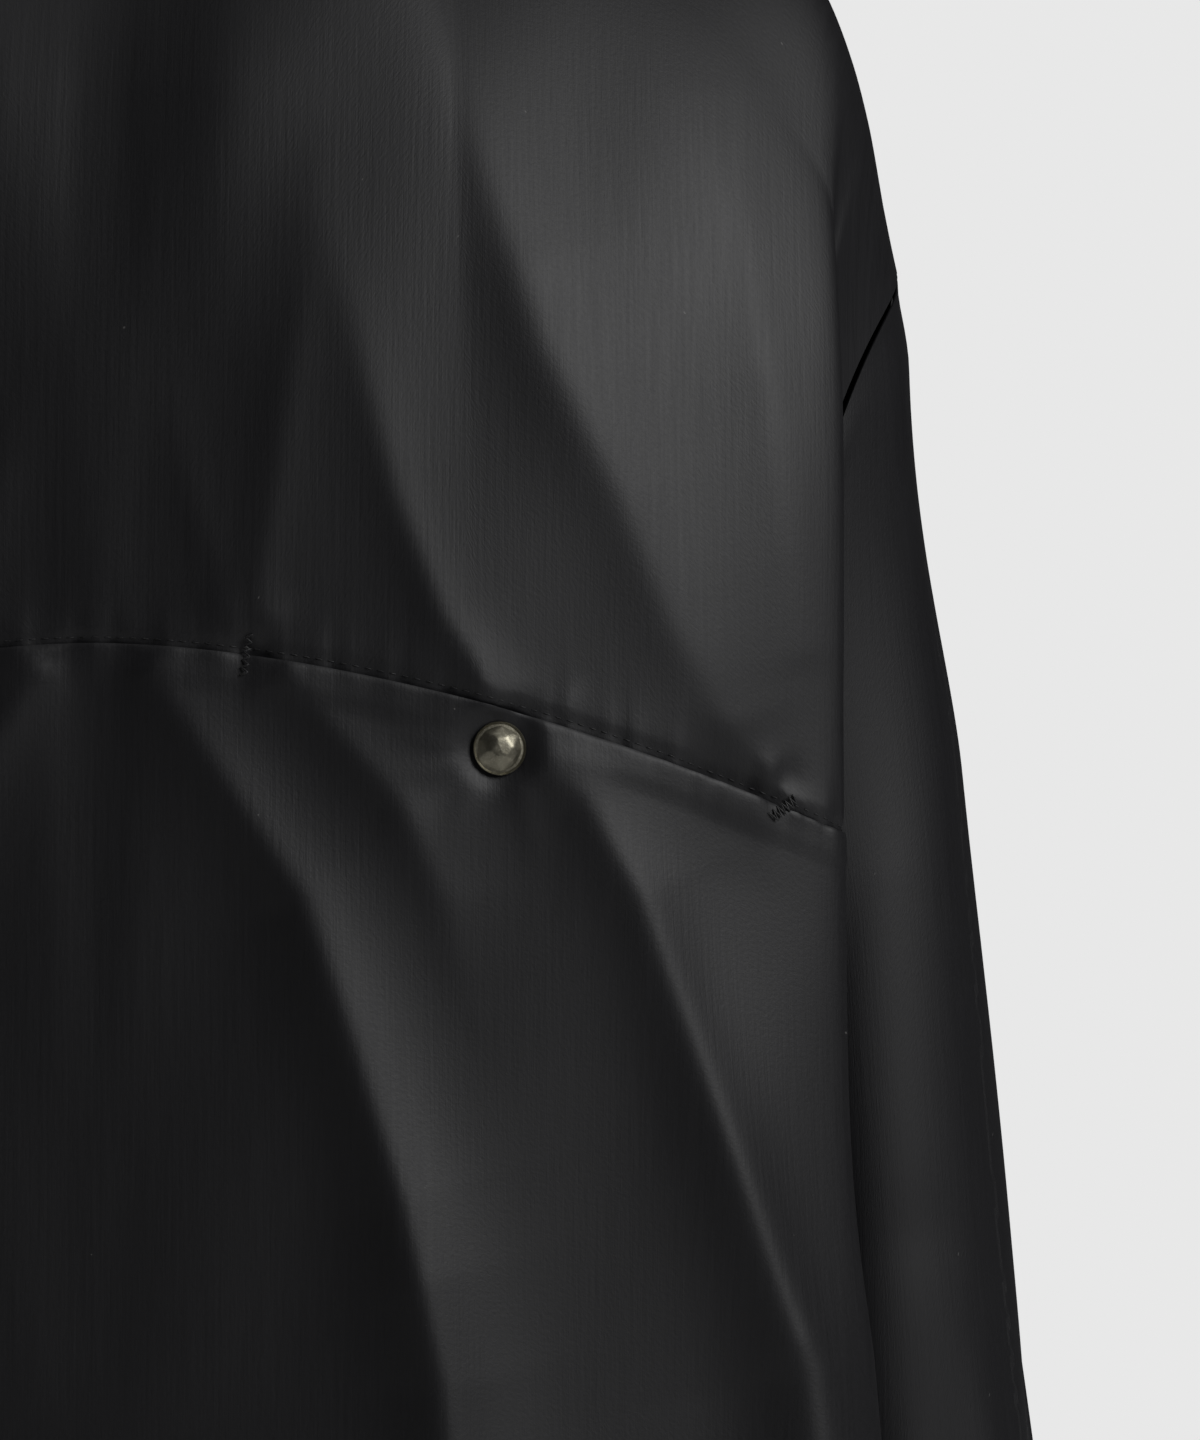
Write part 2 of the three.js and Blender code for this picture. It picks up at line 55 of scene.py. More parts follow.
# Levels of the body, in millimetres: height, centre front, front fold, hollow, side, rear hollow,
# corner and centre back
LEVELS = [
    (-250, 133, (206, -83), (178, -64), (156, 4), (176, 66), (228, 80), 116),
    (-330, 135, (208, -84), (178, -64), (156, 4), (176, 66), (236, 80), 118),
    (-485, 141, (212, -87), (186, -66), (166, 4), (186, 68), (266, 86), 125),
    (-650, 155, (226, -98), (207, -72), (196, 4), (210, 72), (290, 98), 140),
    (-850, 180, (262, -112), (262, -80), (268, 2), (280, 72), (312, 112), 165),
    (-1040, 205, (286, -124), (304, -80), (316, 0), (322, 62), (324, 120), 190),
]
UNDERARM_Z = -330.0
HEM_Z = -1040.0
SEAM_Z, SEAM_DROP, SEAM_REACH, SEAM_POWER = -263.5, 54.0, 209.0, 1.75
SIDE_U, BACK_U, SHOULDER_U, CORNER_U = 5.0, 10.0, 1.2, 8.3
SEAM_ANGLE = 0.35
MOUTH_IN, MOUTH_OUT = 42.0, 189.0
BAG_DEPTH = 150.0
STANDOFF = 7.0
CLOTH = 0.5
CUFF_Z = -640
SLEEVE_RADIUS = 34
BACK_HINGE_X, BACK_HINGE_AXIS = 100.58, (0.179634, 0.055003, -0.982195)
BACK_EDGE_U, BACK_U_WIDTH = 10.28, 34


# ---- curves and surfaces, on arrays of parameters ----

def lerp(a, b, t):
    return a + (b - a) * t


def smooth(a, b, t):
    k = np.clip((np.asarray(t, float) - a) / (b - a), 0, 1)
    return k * k * (3 - 2 * k)


def spline(points):
    """A centripetal curve through the points, on 0 to 1."""
    p = np.asarray(points, float)
    q = np.vstack([2 * p[0] - p[1], p, 2 * p[-1] - p[-2]])
    gap = (np.sum(np.diff(q, axis=0) ** 2, axis=1) ** 0.25)[:, None]
    last = len(p) - 2

    def at(t):
        s = np.clip(np.asarray(t, float), 0, 1) * (last + 1)
        i = np.minimum(s.astype(int), last)
        w = (s - i)[..., None]
        a, b, c, d = q[i], q[i + 1], q[i + 2], q[i + 3]
        e, f, g = gap[i], gap[i + 1], gap[i + 2]
        m = ((b - a) / e - (c - a) / (e + f) + (c - b) / f) * f
        n = ((c - b) / f - (d - b) / (f + g) + (d - c) / g) * f
        return b + m * w + (3 * (c - b) - 2 * m - n) * w**2 + (2 * (b - c) + m + n) * w**3

    return at


def level_curve(level):
    z, d, f, a, s, b, c, e = level
    row = [
        (0, -d), (0.42 * f[0], lerp(-d, f[1], 0.1)), (0.78 * f[0], lerp(-d, f[1], 0.48)), f, a, s, b, c,
        (0.72 * c[0], lerp(e, c[1], 0.42)), (0.38 * c[0], lerp(e, c[1], 0.1)), (0, e),
    ]
    ring = [(-row[1][0], row[1][1])] + row + [(-row[9][0], row[9][1])]
    return spline(ring)


CURVES = [level_curve(level) for level in LEVELS]
HEIGHTS = np.array([level[0] for level in LEVELS], float)


def section(u, z):
    """Points of the body at station u and height z, smooth in height."""
    u, z = np.broadcast_arrays(np.asarray(u, float), np.asarray(z, float))
    xy = np.stack([curve((u + 1) / 12) for curve in CURVES])
    slope = np.empty_like(xy)
    slope[1:-1] = (xy[2:] - xy[:-2]) / (HEIGHTS[2:] - HEIGHTS[:-2])[:, None].reshape(
        (-1,) + (1,) * (xy.ndim - 1))
    slope[0] = (xy[1] - xy[0]) / (HEIGHTS[1] - HEIGHTS[0])
    slope[-1] = (xy[-1] - xy[-2]) / (HEIGHTS[-1] - HEIGHTS[-2])
    i = np.clip(np.searchsorted(-HEIGHTS, -z) - 1, 0, len(HEIGHTS) - 2)
    step = HEIGHTS[i + 1] - HEIGHTS[i]
    t = (z - HEIGHTS[i]) / step
    take = lambda table, k: np.take_along_axis(table, k[None, ..., None], 0)[0]
    a, b = take(xy, i), take(xy, i + 1)
    m, n = take(slope, i) * step[..., None], take(slope, i + 1) * step[..., None]
    t = t[..., None]
    inside = (2 * t**3 - 3 * t**2 + 1) * a + (t**3 - 2 * t**2 + t) * m
    inside = inside + (3 * t**2 - 2 * t**3) * b + (t**3 - t**2) * n
    p = np.where(t < 0, a + m * t, inside)
    return np.concatenate([p, z[..., None]], -1)


def seam_height(x):
    """Height of the chest seam at a distance from centre front."""
    return SEAM_Z - SEAM_DROP * (np.minimum(x, SEAM_REACH) / SEAM_REACH) ** SEAM_POWER


def seam_z(u):
    u = np.asarray(u, float)
    x = section(np.minimum(u, 3), -290.0)[..., 0]
    front = SEAM_Z - SEAM_DROP * (np.maximum(x, 0) / SEAM_REACH) ** SEAM_POWER
    return np.where(u > 3, lerp(SEAM_Z - SEAM_DROP, UNDERARM_Z, (u - 3) / 2), front)


def station_at(x):
    low, high = 0.0, 3.0
    for _ in range(30):
        mid = (low + high) / 2
        if section(mid, -290.0)[0] < x:
            low = mid
        else:
            high = mid
    return low


def armhole(angle):
    c, s = np.cos(angle), np.sin(angle)
    high = np.clip(1 - np.abs(s) ** 2.4, 0, 1) ** (1 / 2.4)
    c = np.where((c > 0) & (s > 0), high, c)
    x = 187.5 + 31.5 * c + np.where(s > 0, 4 * s, -10 * s)
    y = 5 - np.where(s > 0, 68, 62) * s
    return np.stack([x, y, -241.5 + 88.5 * c], -1)


def neckline(angle):
    c = np.cos(angle)
    y = 5 - np.where(c > 0, 72, 66) * c
    return np.stack([75 * np.sin(angle), y, -np.where(c > 0, 58, 8) * c * c], -1)


SHOULDER = spline([(75, 5, 0), (125, 3, -16), (172, -2, -42), (204, -9, -92), tuple(armhole(SEAM_ANGLE))])
ARM_LOW = np.array([156.0, 4.0, UNDERARM_Z])


def top_edge(u):
    back = u > SIDE_U
    k = np.where(back, BACK_U - u, u)
    a = k / SHOULDER_U * (math.pi / 2)
    neck = neckline(np.where(back, math.pi - a, a))
    along = SHOULDER(np.maximum((k - SHOULDER_U) / (SIDE_U - SHOULDER_U), 0) ** 0.6)
    return np.where((k < SHOULDER_U)[..., None], neck, along)


def drop(start, end, v):
    k, h = np.sin(v * math.pi / 2), 1 - np.cos(v * math.pi / 2)
    return start + (end - start) * np.stack([k, k, h], -1)


def back_low(u, v):
    low = section(u, UNDERARM_Z)
    t = np.clip((u - SIDE_U) / (CORNER_U - SIDE_U), 0, 1)
    end = section(CORNER_U, UNDERARM_Z)
    plain = np.stack([lerp(ARM_LOW[0], end[0], t), lerp(ARM_LOW[1], end[1], np.sin(t * math.pi / 2)),
                      np.full_like(t, UNDERARM_Z)], -1)
    mixed = plain + (low - plain) * smooth(0.4, 1, v)[..., None]
    return np.where((u >= CORNER_U)[..., None], low, mixed)


def upper(u, v, low):
    back = u > SIDE_U
    p = drop(top_edge(u), low, v)
    angle = np.where(back, lerp(SEAM_ANGLE, -math.pi, v), lerp(SEAM_ANGLE, math.pi, v))
    start = drop(armhole(SEAM_ANGLE), ARM_LOW, v)
    side = armhole(angle) - start
    w = np.where(back, 1 - smooth(SIDE_U, 7.8, u), smooth(2.2, SIDE_U, u))
    flat = np.where(back, CORNER_U, 0.0)
    face = drop(top_edge(flat), section(flat, np.where(back, UNDERARM_Z, SEAM_Z)), v)[..., 1]
    gap = face - start[..., 1]
    room = np.clip((face - p[..., 1]) / np.where(np.abs(gap) < 1e-6, 1, gap), 0, 1)
    push = np.stack([side[..., 0] * w, side[..., 1] * np.where(back, 1, w) * room, side[..., 2] * w], -1)
    return p + push


def mirrored(surface):
    def both(u, v):
        p = surface(np.abs(u), v)
        return p * np.stack([np.where(u < 0, -1, 1), np.ones_like(u), np.ones_like(u)], -1)
    return both


def yoke_at(u, v):
    """v from 0 to 1 ends on the chest seam; past 1 the allowance runs down behind the panel below."""
    edge = seam_z(u)
    p = upper(u, np.minimum(v, 1), section(u, edge))
    below = section(u, edge - np.maximum(v - 1, 0) * 100)
    return np.where((v > 1)[..., None], below, p)


def front_at(u, depth):
    """depth is the distance below the chest seam at centre front, and in proportion elsewhere."""
    share = depth / (SEAM_Z - HEM_Z)
    edge = seam_z(u)
    near = smooth(0, 240, depth)
    z = lerp(edge - depth, lerp(edge, HEM_Z, share), near)
    return section(u, z)


def back_at(u, v):
    over = u > BACK_U
    k = np.where(over, 2 * BACK_U - u, u)
    top = upper(k, np.minimum(v, 1), back_low(k, np.minimum(v, 1)))
    low = section(k, lerp(UNDERARM_Z, HEM_Z, np.maximum(v - 1, 0)))
    p = np.where((v < 1)[..., None], top, low)
    return p * np.stack([np.where(over, -1, 1), np.ones_like(u), np.ones_like(u)], -1)


def sleeve_x(z):
    """How far out the sleeve's outer line is at a height."""
    return 221 + 0.1225 * (-156 - z)


def sleeve_at(angle, v):
    low = (1 - np.cos(angle)) / 2
    start = armhole(angle)
    sx = start[..., 0] + 3.2 * low
    sy = start[..., 1] * (1 - 0.05 * np.sqrt(low))
    sz = start[..., 2] - 0.9 - 1.2 * (1 - low)
    z = lerp(sz, -639.4, v)
    k = np.clip((UNDERARM_Z - z) / (UNDERARM_Z + 640), 0, 1)
    rx, ry = lerp(41, SLEEVE_RADIUS, k), lerp(52, 40, k)
    x = sleeve_x(z) - rx + rx * np.cos(angle)
    y = 4 - ry * np.sin(angle)
    w = smooth(0, 0.3, v)
    return np.stack([lerp(sx, x, w), lerp(sy, y, w), z], -1)


def band_at(angle, h):
    p = neckline(angle)
    lean = 1 - 0.05 * (1 - h)
    return np.stack([p[..., 0] * lean, 5 + (p[..., 1] - 5) * lean, p[..., 2] + 3.6 + 32 * (1 - h)], -1)


def normals(p):
    """Normals of a grid of points, rows running down and columns to the wearer's left."""
    across = np.gradient(p, axis=1)
    down = np.gradient(p, axis=0)
    n = np.cross(down, across)
    return n / np.maximum(np.linalg.norm(n, axis=-1, keepdims=True), 1e-9)


# ---- folds ----
# Each fold is a crest line of (x, z) in millimetres, with its heights from one end to the other, and
# its widths to the left and to the right of the crest at the two ends.

FRONT_FOLDS = [
    ([(74, -30), (84, -60), (95, -99), (108, -138), (122, -181), (144, -223), (158, -257), (173, -285)],
     (1.0, 6.8, 1.8), (20, 11), (30, 12)),
    ([(60, -140), (70, -175), (82, -223), (95, -257), (103, -269), (109, -280)],
     (0.3, 2.6, 3.2), (11, 5), (15, 7)),
    ([(172, -110), (181, -160), (189, -215), (196, -264)], (0.3, 2.2, 0.6), (14, 10), (12, 9)),
    ([(34, -30), (36, -84), (33, -134), (35, -190)], (0.4, 3.0, 0.2), (22, 18), (22, 18)),
    ([(62, -120), (56, -170), (50, -215), (46, -240), (45, -256)], (0.2, 1.6, 1.2), (14, 6), (12, 5)),
    ([(20, -190), (27, -225), (36, -252)], (0.1, 1.0, 0.5), (10, 5), (9, 5)),
    ([(122, -287), (129, -280), (134, -275)], (1.0, 0.8, 0.1), (2.4, 2.0), (3, 2)),
    ([(112, -284), (114, -276), (113, -266)], (0.7, 0.5, 0.1), (2.4, 2.4), (3, 3)),
    ([(16, -272), (38, -306), (57, -335), (70, -374), (83, -418), (94, -468), (101, -540), (104, -620),
      (105, -710), (105, -840), (105, -990)], (2.8, 12.5, 11.0, 5.0, 0.0), (8, 20), (13, 34)),
    ([(53, -272), (66, -288), (83, -307), (96, -335), (102, -362)], (2.0, 3.2, 0.3), (6, 8), (9, 14)),
    ([(121, -297), (134, -307), (149, -335), (162, -374), (176, -418), (192, -468), (201, -540), (206, -620),
      (212, -710), (218, -840), (222, -990)], (3.2, 14.5, 12.0, 5.5, 0.0), (8, 26), (12, 32)),
    ([(116, -302), (119, -312), (121, -324)], (0.9, 0.5, 0.1), (2.5, 3), (3, 4)),
    ([(104, -301), (100, -310), (96, -320)], (0.9, 0.5, 0.1), (3, 3), (3, 4)),
    ([(101, -290), (93, -290), (84, -287)], (0.9, 0.6, 0.1), (2.5, 3), (2.5, 3)),
    ([(102, -296), (92, -299), (80, -299)], (0.7, 0.5, 0.1), (2.5, 3), (2.5, 3)),
    ([(120, -294), (131, -298), (146, -303)], (1.0, 0.7, 0.1), (2.5, 3), (3, 4)),
    ([(176, -297), (184, -299), (193, -306), (198, -311)], (0.6, 1.2, 0.3), (3, 3), (4, 4)),
    ([(44, -262), (50, -256), (55, -252)], (1.0, 0.6, 0.1), (2.5, 3), (2.5, 3)),
    ([(40, -262), (36, -256), (30, -252)], (1.0, 0.6, 0.1), (2.5, 3), (2.5, 3)),
    ([(187, -299), (180, -293), (172, -289)], (1.2, 0.8, 0.1), (2.5, 3), (3, 3)),
    ([(192, -306), (200, -312), (206, -322)], (1.0, 0.6, 0.1), (2.5, 3), (3, 3)),
]


# Radius of a crest, as a share of the fold's narrower width
ROUNDING = 0.42


def crest(x, z, line, heights, left, right):
    """The height of one fold at (x, z), which may rise faster on one side of its crest than on the other."""
    best = np.full(x.shape, 1e9)
    side = np.zeros(x.shape)
    where = np.zeros(x.shape)
    ends = np.zeros(x.shape)
    steps = [math.dist(a, b) for a, b in zip(line, line[1:])]
    run = 0.0
    for k, (a, b) in enumerate(zip(line, line[1:])):
        dx, dz = (b[0] - a[0]) / steps[k], (b[1] - a[1]) / steps[k]
        raw = (x - a[0]) * dx + (z - a[1]) * dz
        t = np.clip(raw, 0, steps[k])
        px, pz = x - a[0] - dx * t, z - a[1] - dz * t
        d = np.hypot(px, pz)
        closer = d < best
        best = np.where(closer, d, best)
        side = np.where(closer, dx * pz - dz * px, side)
        where = np.where(closer, run + t, where)
        over = np.zeros(x.shape)
        if k == 0:
            over = np.maximum(over, -raw)
        if k == len(steps) - 1:
            over = np.maximum(over, raw - steps[k])
        ends = np.where(closer, over, ends)
        run += steps[k]
    share = where / run
    to_right = side > 0
    width = np.where(to_right, lerp(right[0], right[1], share), lerp(left[0], left[1], share))
    least = np.minimum(lerp(left[0], left[1], share), lerp(right[0], right[1], share))
    round_ = ROUNDING * least
    d = np.sqrt(best**2 + round_**2) - round_
    past = np.exp(-(np.maximum(ends, 0) / (0.9 * width)) ** 2)
    height = np.interp(share, np.linspace(0, 1, len(heights)), heights)
    return height * np.exp(-d / width) * past


def dimple(x, z, at, depth, radius):
    return -depth * np.exp(-((x - at[0]) ** 2 + (z - at[1]) ** 2) / radius**2)


SNAP_AT = (111.03, -292.5)
TACK_IN_AT, TACK_OUT_AT = (41.9, -263.6), (190.6, -303.0)


def front_folds(p, reach):
    """Height of the folds over the front, fading at centre front and where reach falls to 0."""
    x, z = np.abs(p[..., 0]), p[..., 2]
    h = np.zeros(x.shape)
    for line, heights, left, right in FRONT_FOLDS:
        h = h + crest(x, z, line, heights, left, right)
    for spot, depth, radius in ((SNAP_AT, 1.5, 10), (TACK_IN_AT, 1.3, 5), (TACK_OUT_AT, 1.6, 6)):
        h = h + dimple(x, z, spot, depth, radius)
    drape = smooth(-430, -1000, z)
    wave = np.cos(x / 310 * 2 * math.pi * 3.1 + 0.8) + 0.5 * np.cos(x / 310 * 2 * math.pi * 5.3 + 2.2)
    h = h + 5.5 * drape * wave
    seat = np.exp(-(np.hypot(x - SNAP_AT[0], z - SNAP_AT[1]) / 9.5) ** 4)
    h = lerp(h, -0.7, seat)
    slow = 0.5 * np.sin(x * 0.051 + z * 0.017 + 1.0) + 0.35 * np.sin(x * 0.093 - z * 0.041)
    h = h + slow * (1 - seat)
    return h * smooth(0, 14, x) * reach


def turned_edge(distance, width, height):
    """A doubled edge of cloth: a low step that ends with a rolled rim."""
    return height * (1 - smooth(width - 1.2, width + 1.2, distance)) - 0.5 * np.exp(-distance / 0.6)


def set_out(p):
    """The shoulders stand a little wider and higher than the plain form, behind the front fold."""
    x, y, z = np.abs(p[..., 0]), p[..., 1], p[..., 2]
    behind = smooth(-62, -25, y) * smooth(130, 200, x)
    wide = 7 * behind * smooth(-640, -330, z)
    high = 4 * behind * smooth(-200, -90, z)
    return p + np.stack([np.sign(p[..., 0]) * wide, 0 * wide, high], -1)


# ---- meshes ----

def to_object(bm, name, material, body=None, smooth_angle=40):
    for f in bm.faces:
        f.smooth = True
    for e in bm.edges:
        if len(e.link_faces) == 2 and e.calc_face_angle(0) > math.radians(smooth_angle):
            e.smooth = False
    mesh = bpy.data.meshes.new(name)
    bm.to_mesh(mesh)
    bm.free()
    obj = bpy.data.objects.new(name, mesh)
    bpy.context.scene.collection.objects.link(obj)
    mesh.materials.append(material)
    if body:
        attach(obj, body)
    return obj


GRIDS = {}


def cloth(name, points, flat, material, thickness=CLOTH, closed=False):
    """A sheet of cloth over a grid of points, given real thickness towards the wearer."""
    rows, columns = points.shape[0] - 1, points.shape[1] - 1
    GRIDS[name] = points
    bm = bmesh.new()
    flat_layer = bm.verts.layers.float_vector.new("flat")
    bmesh.ops.create_grid(bm, x_segments=columns, y_segments=rows, size=1)
    n = normals(points)
    bm.verts.ensure_lookup_table()
    for vert in bm.verts:
        i = round((vert.co.x + 1) / 2 * columns)
        j = round((1 - vert.co.y) / 2 * rows)
        vert.co = points[j, i] * MM
        vert[flat_layer] = (flat[0][j, i] * MM, flat[1][j, i] * MM, 0)
    if closed:
        bmesh.ops.remove_doubles(bm, verts=bm.verts[:], dist=1e-6)
    bm.normal_update()
    j, i = rows // 2, columns // 2
    near = min(bm.faces, key=lambda f: (f.calc_center_median() - Vector(points[j, i] * MM)).length)
    if near.normal.dot(Vector(n[j, i])) < 0:
        bmesh.ops.reverse_faces(bm, faces=bm.faces[:])
        bm.normal_update()
    bmesh.ops.solidify(bm, geom=bm.faces[:], thickness=thickness * MM)
    return to_object(bm, name, material)


def spacing(*spans):
    """Values from spans of (start, end, steps)."""
    parts = [np.linspace(a, b, n, endpoint=False) for a, b, n in spans]
    return np.concatenate(parts + [[spans[-1][1]]])


def along(points, axis):
    """Distance along the grid's columns (axis 0) or rows (axis 1), from where they start."""
    step = np.linalg.norm(np.diff(points, axis=axis), axis=-1)
    run = np.cumsum(step, axis=axis)
    zero = np.zeros_like(np.take(run, [0], axis))
    return np.concatenate([zero, run], axis)


def flat_of(points):
    return along(points, 1), along(points, 0)


# ---- materials ----

class Wire:
    """A shader value: arithmetic on it adds the nodes."""

    def __init__(self, shade, socket):
        self.shade, self.socket = shade, socket

    def _math(self, kind, a, b, clamp=False):
        return self.shade.node("ShaderNodeMath", dict(operation=kind, use_clamp=clamp), {0: a, 1: b})

    def __add__(self, other):
        return self._math("ADD", self, other)

    def __sub__(self, other):
        return self._math("SUBTRACT", self, other)

    def __mul__(self, other):
        return self._math("MULTIPLY", self, other)

    def __rsub__(self, other):
        return self._math("SUBTRACT", other, self)

    def above(self, other):
        return self._math("GREATER_THAN", self, other)

    def clamped(self):
        return self._math("ADD", self, 0.0, clamp=True)

    __radd__ = __add__


class Shade:
    """One material and its nodes."""

    def __init__(self, name, **values):
        self.material = bpy.data.materials.new(name)
        self.material.use_nodes = True
        self.tree = self.material.node_tree
        self.shader = next(n for n in self.tree.nodes if n.type == "BSDF_PRINCIPLED")
        for key, value in values.items():
            self.shader.inputs[key.replace("_", " ")].default_value = value

    def node(self, kind, settings=None, inputs=None, out=0):
        made = self.tree.nodes.new(kind)
        for key, value in (settings or {}).items():
            setattr(made, key, value)
        for key, value in (inputs or {}).items():
            if isinstance(value, Wire):
                self.tree.links.new(value.socket, made.inputs[key])
            else:
                made.inputs[key].default_value = value
        return Wire(self, made.outputs[out])

    def feed(self, socket, wire):
        self.tree.links.new(wire.socket, self.shader.inputs[socket])

    def place(self, scale):
        """Places on the flat cloth, in millimetres times scale."""
        flat = self.node("ShaderNodeAttribute", dict(attribute_name="flat"), out="Vector")
        return self.node("ShaderNodeMapping", {}, {0: flat, "Scale": [1000 * s for s in scale]})

    def spot(self, scale):
        """Places in the object's own space, in millimetres times scale."""
        spot = self.node("ShaderNodeTexCoord", out="Object")
        return self.node("ShaderNodeMapping", {}, {0: spot, "Scale": [1000 * s for s in scale]})

    def noise(self, vector, detail=2.0, rough=0.5, scale=1.0):
        return self.node("ShaderNodeTexNoise", {}, {"Vector": vector, "Scale": scale, "Detail": detail,
                                                    "Roughness": rough})

    def colours(self, factor, first, second):
        return self.node("ShaderNodeMix", dict(data_type="RGBA"),
                         {0: factor, 6: (*first, 1), 7: (*second, 1)}, out=2)

    def over(self, factor, below, colour):
        return self.node("ShaderNodeMix", dict(data_type="RGBA"),
                         {0: factor, 6: below, 7: (*colour, 1)}, out=2)

    def relief(self, height, distance, strength=1.0):
        self.feed("Normal", self.node("ShaderNodeBump", {}, {"Height": height, "Distance": distance,
                                                             "Strength": strength}))


def black_taffeta(name, lighter=1.0):
    s = Shade(name, Roughness=0.5, Specular_IOR_Level=0.5)
    streak = s.noise(s.place((0.85, 0.022, 1)), 3.0, 0.6)
    nap = s.noise(s.place((0.9, 0.8, 1)), 2.0, 0.6)
    warp = s.noise(s.place((2.6, 0.07, 1)), 2.0, 0.6)
    weft = s.noise(s.place((0.25, 3.4, 1)), 2.0, 0.55)
    grain = s.noise(s.place((3.2, 3.2, 1)), 1.0, 0.5)
    wash = s.noise(s.place((0.016, 0.01, 1)), 3.0, 0.55)
    # lighter scales the cloth's colour; above 1 it is painted light, a brighter-lit copy of the same taffeta
    body = s.colours(wash, [c * lighter for c in (0.0032, 0.0030, 0.0042)],
                     [c * lighter for c in (0.0046, 0.0046, 0.0058)])
    thread = (warp * 0.4 + streak * 0.35 + nap * 0.3 + weft * 0.1 + grain * 0.2 - 0.67) * 4.2
    toned = s.node("ShaderNodeMix", dict(data_type="RGBA", blend_type="ADD"),
                   {0: (thread * 0.5 + 0.25).clamped(), 6: body, 7: (0.0055, 0.0054, 0.0064, 1)}, out=2)
    cells = {"Vector": s.place((0.11, 0.11, 1)), "Scale": 1.0}
    fluff = s.node("ShaderNodeTexVoronoi", dict(feature="F1"), cells, out="Distance")
    chance = s.node("ShaderNodeTexVoronoi", dict(feature="F1"), cells, out="Color")
    pick = s.node("ShaderNodeSeparateColor", {}, {0: chance}, out=0)
    speck = (1 - fluff.above(0.034)) * pick.above(0.80)
    s.feed("Base Color", s.over(speck * 0.5, toned, (0.16, 0.155, 0.15)))
    s.feed("Roughness", (0.42 + streak * 0.1 + nap * 0.08 + wash * 0.06).clamped())
    s.relief(streak * 0.6 + nap * 0.6 + warp * 0.16 + weft * 0.08 + grain * 0.14, 0.00012, 0.9)
    return s.material


def sewing_thread(name):
    s = Shade(name, Roughness=0.5, Sheen_Weight=0.1)
    ply = s.noise(s.spot((2.2, 2.2, 2.2)), 2.0)
    s.feed("Base Color", s.colours(ply, (0.003, 0.003, 0.004), (0.012, 0.012, 0.013)))
    s.feed("Roughness", 0.38 + ply * 0.25)
    s.relief(ply, 0.0001)
    return s.material


def hammered_brass(name):
    s = Shade(name, Metallic=1.0, Roughness=0.34)
    patina = s.noise(s.spot((0.28, 0.28, 0.28)), 4.0, 0.6)
    scuffs = s.noise(s.spot((1.6, 1.6, 1.6)), 3.0, 0.6)
    base = s.colours(patina, (0.15, 0.138, 0.10), (0.36, 0.34, 0.27))
    s.feed("Base Color", s.over((scuffs - 0.52) * 1.6, base, (0.50, 0.49, 0.42)))
    s.feed("Roughness", 0.27 + patina * 0.12 + scuffs * 0.1)
    s.relief(patina * 0.7 + scuffs * 0.3, 0.00025, 0.5)
    return s.material


def plated_steel(name):
    s = Shade(name, Metallic=1.0, Roughness=0.35)
    wear = s.noise(s.spot((0.5, 0.5, 0.5)), 4.0)
    s.feed("Base Color", s.colours(wear, (0.36, 0.35, 0.32), (0.55, 0.54, 0.51)))
    s.feed("Roughness", 0.28 + wear * 0.18)
    s.relief(wear, 0.0001, 0.4)
    return s.material


def woven_elastic(name):
    s = Shade(name, Roughness=0.85)
    ribs = s.node("ShaderNodeTexWave", dict(bands_direction="Z"), {"Vector": s.spot((0.5, 0.5, 0.5)),
                                                                   "Scale": 2.0, "Distortion": 0.6})
    s.feed("Base Color", s.colours(ribs, (0.01, 0.01, 0.012), (0.035, 0.035, 0.04)))
    s.feed("Roughness", 0.75 + ribs * 0.15)
    s.relief(ribs, 0.0003)
    return s.material


def pale_ground(name):
    s = Shade(name, Roughness=0.9)
    tone = s.noise(s.spot((0.002, 0.002, 0.002)), 2.0)
    s.feed("Base Color", s.colours(tone, (0.78, 0.78, 0.78), (0.80, 0.80, 0.80)))
    s.feed("Roughness", 0.85 + tone * 0.1)
    return s.material


TAFFETA = black_taffeta("black_taffeta")
# The sleeve gets its own copy of the taffeta, painted 5% lighter: painted light for the brighter light that
# falls on the sleeve
SLEEVE_CLOTH = black_taffeta("black_taffeta_sleeve", 1.05)
THREAD = sewing_thread("black_sewing_thread")
BRASS = hammered_brass("hammered_antique_brass")
STEEL = plated_steel("plated_steel")
ELASTIC = woven_elastic("woven_elastic")


# ---- camera, lights and ground ----

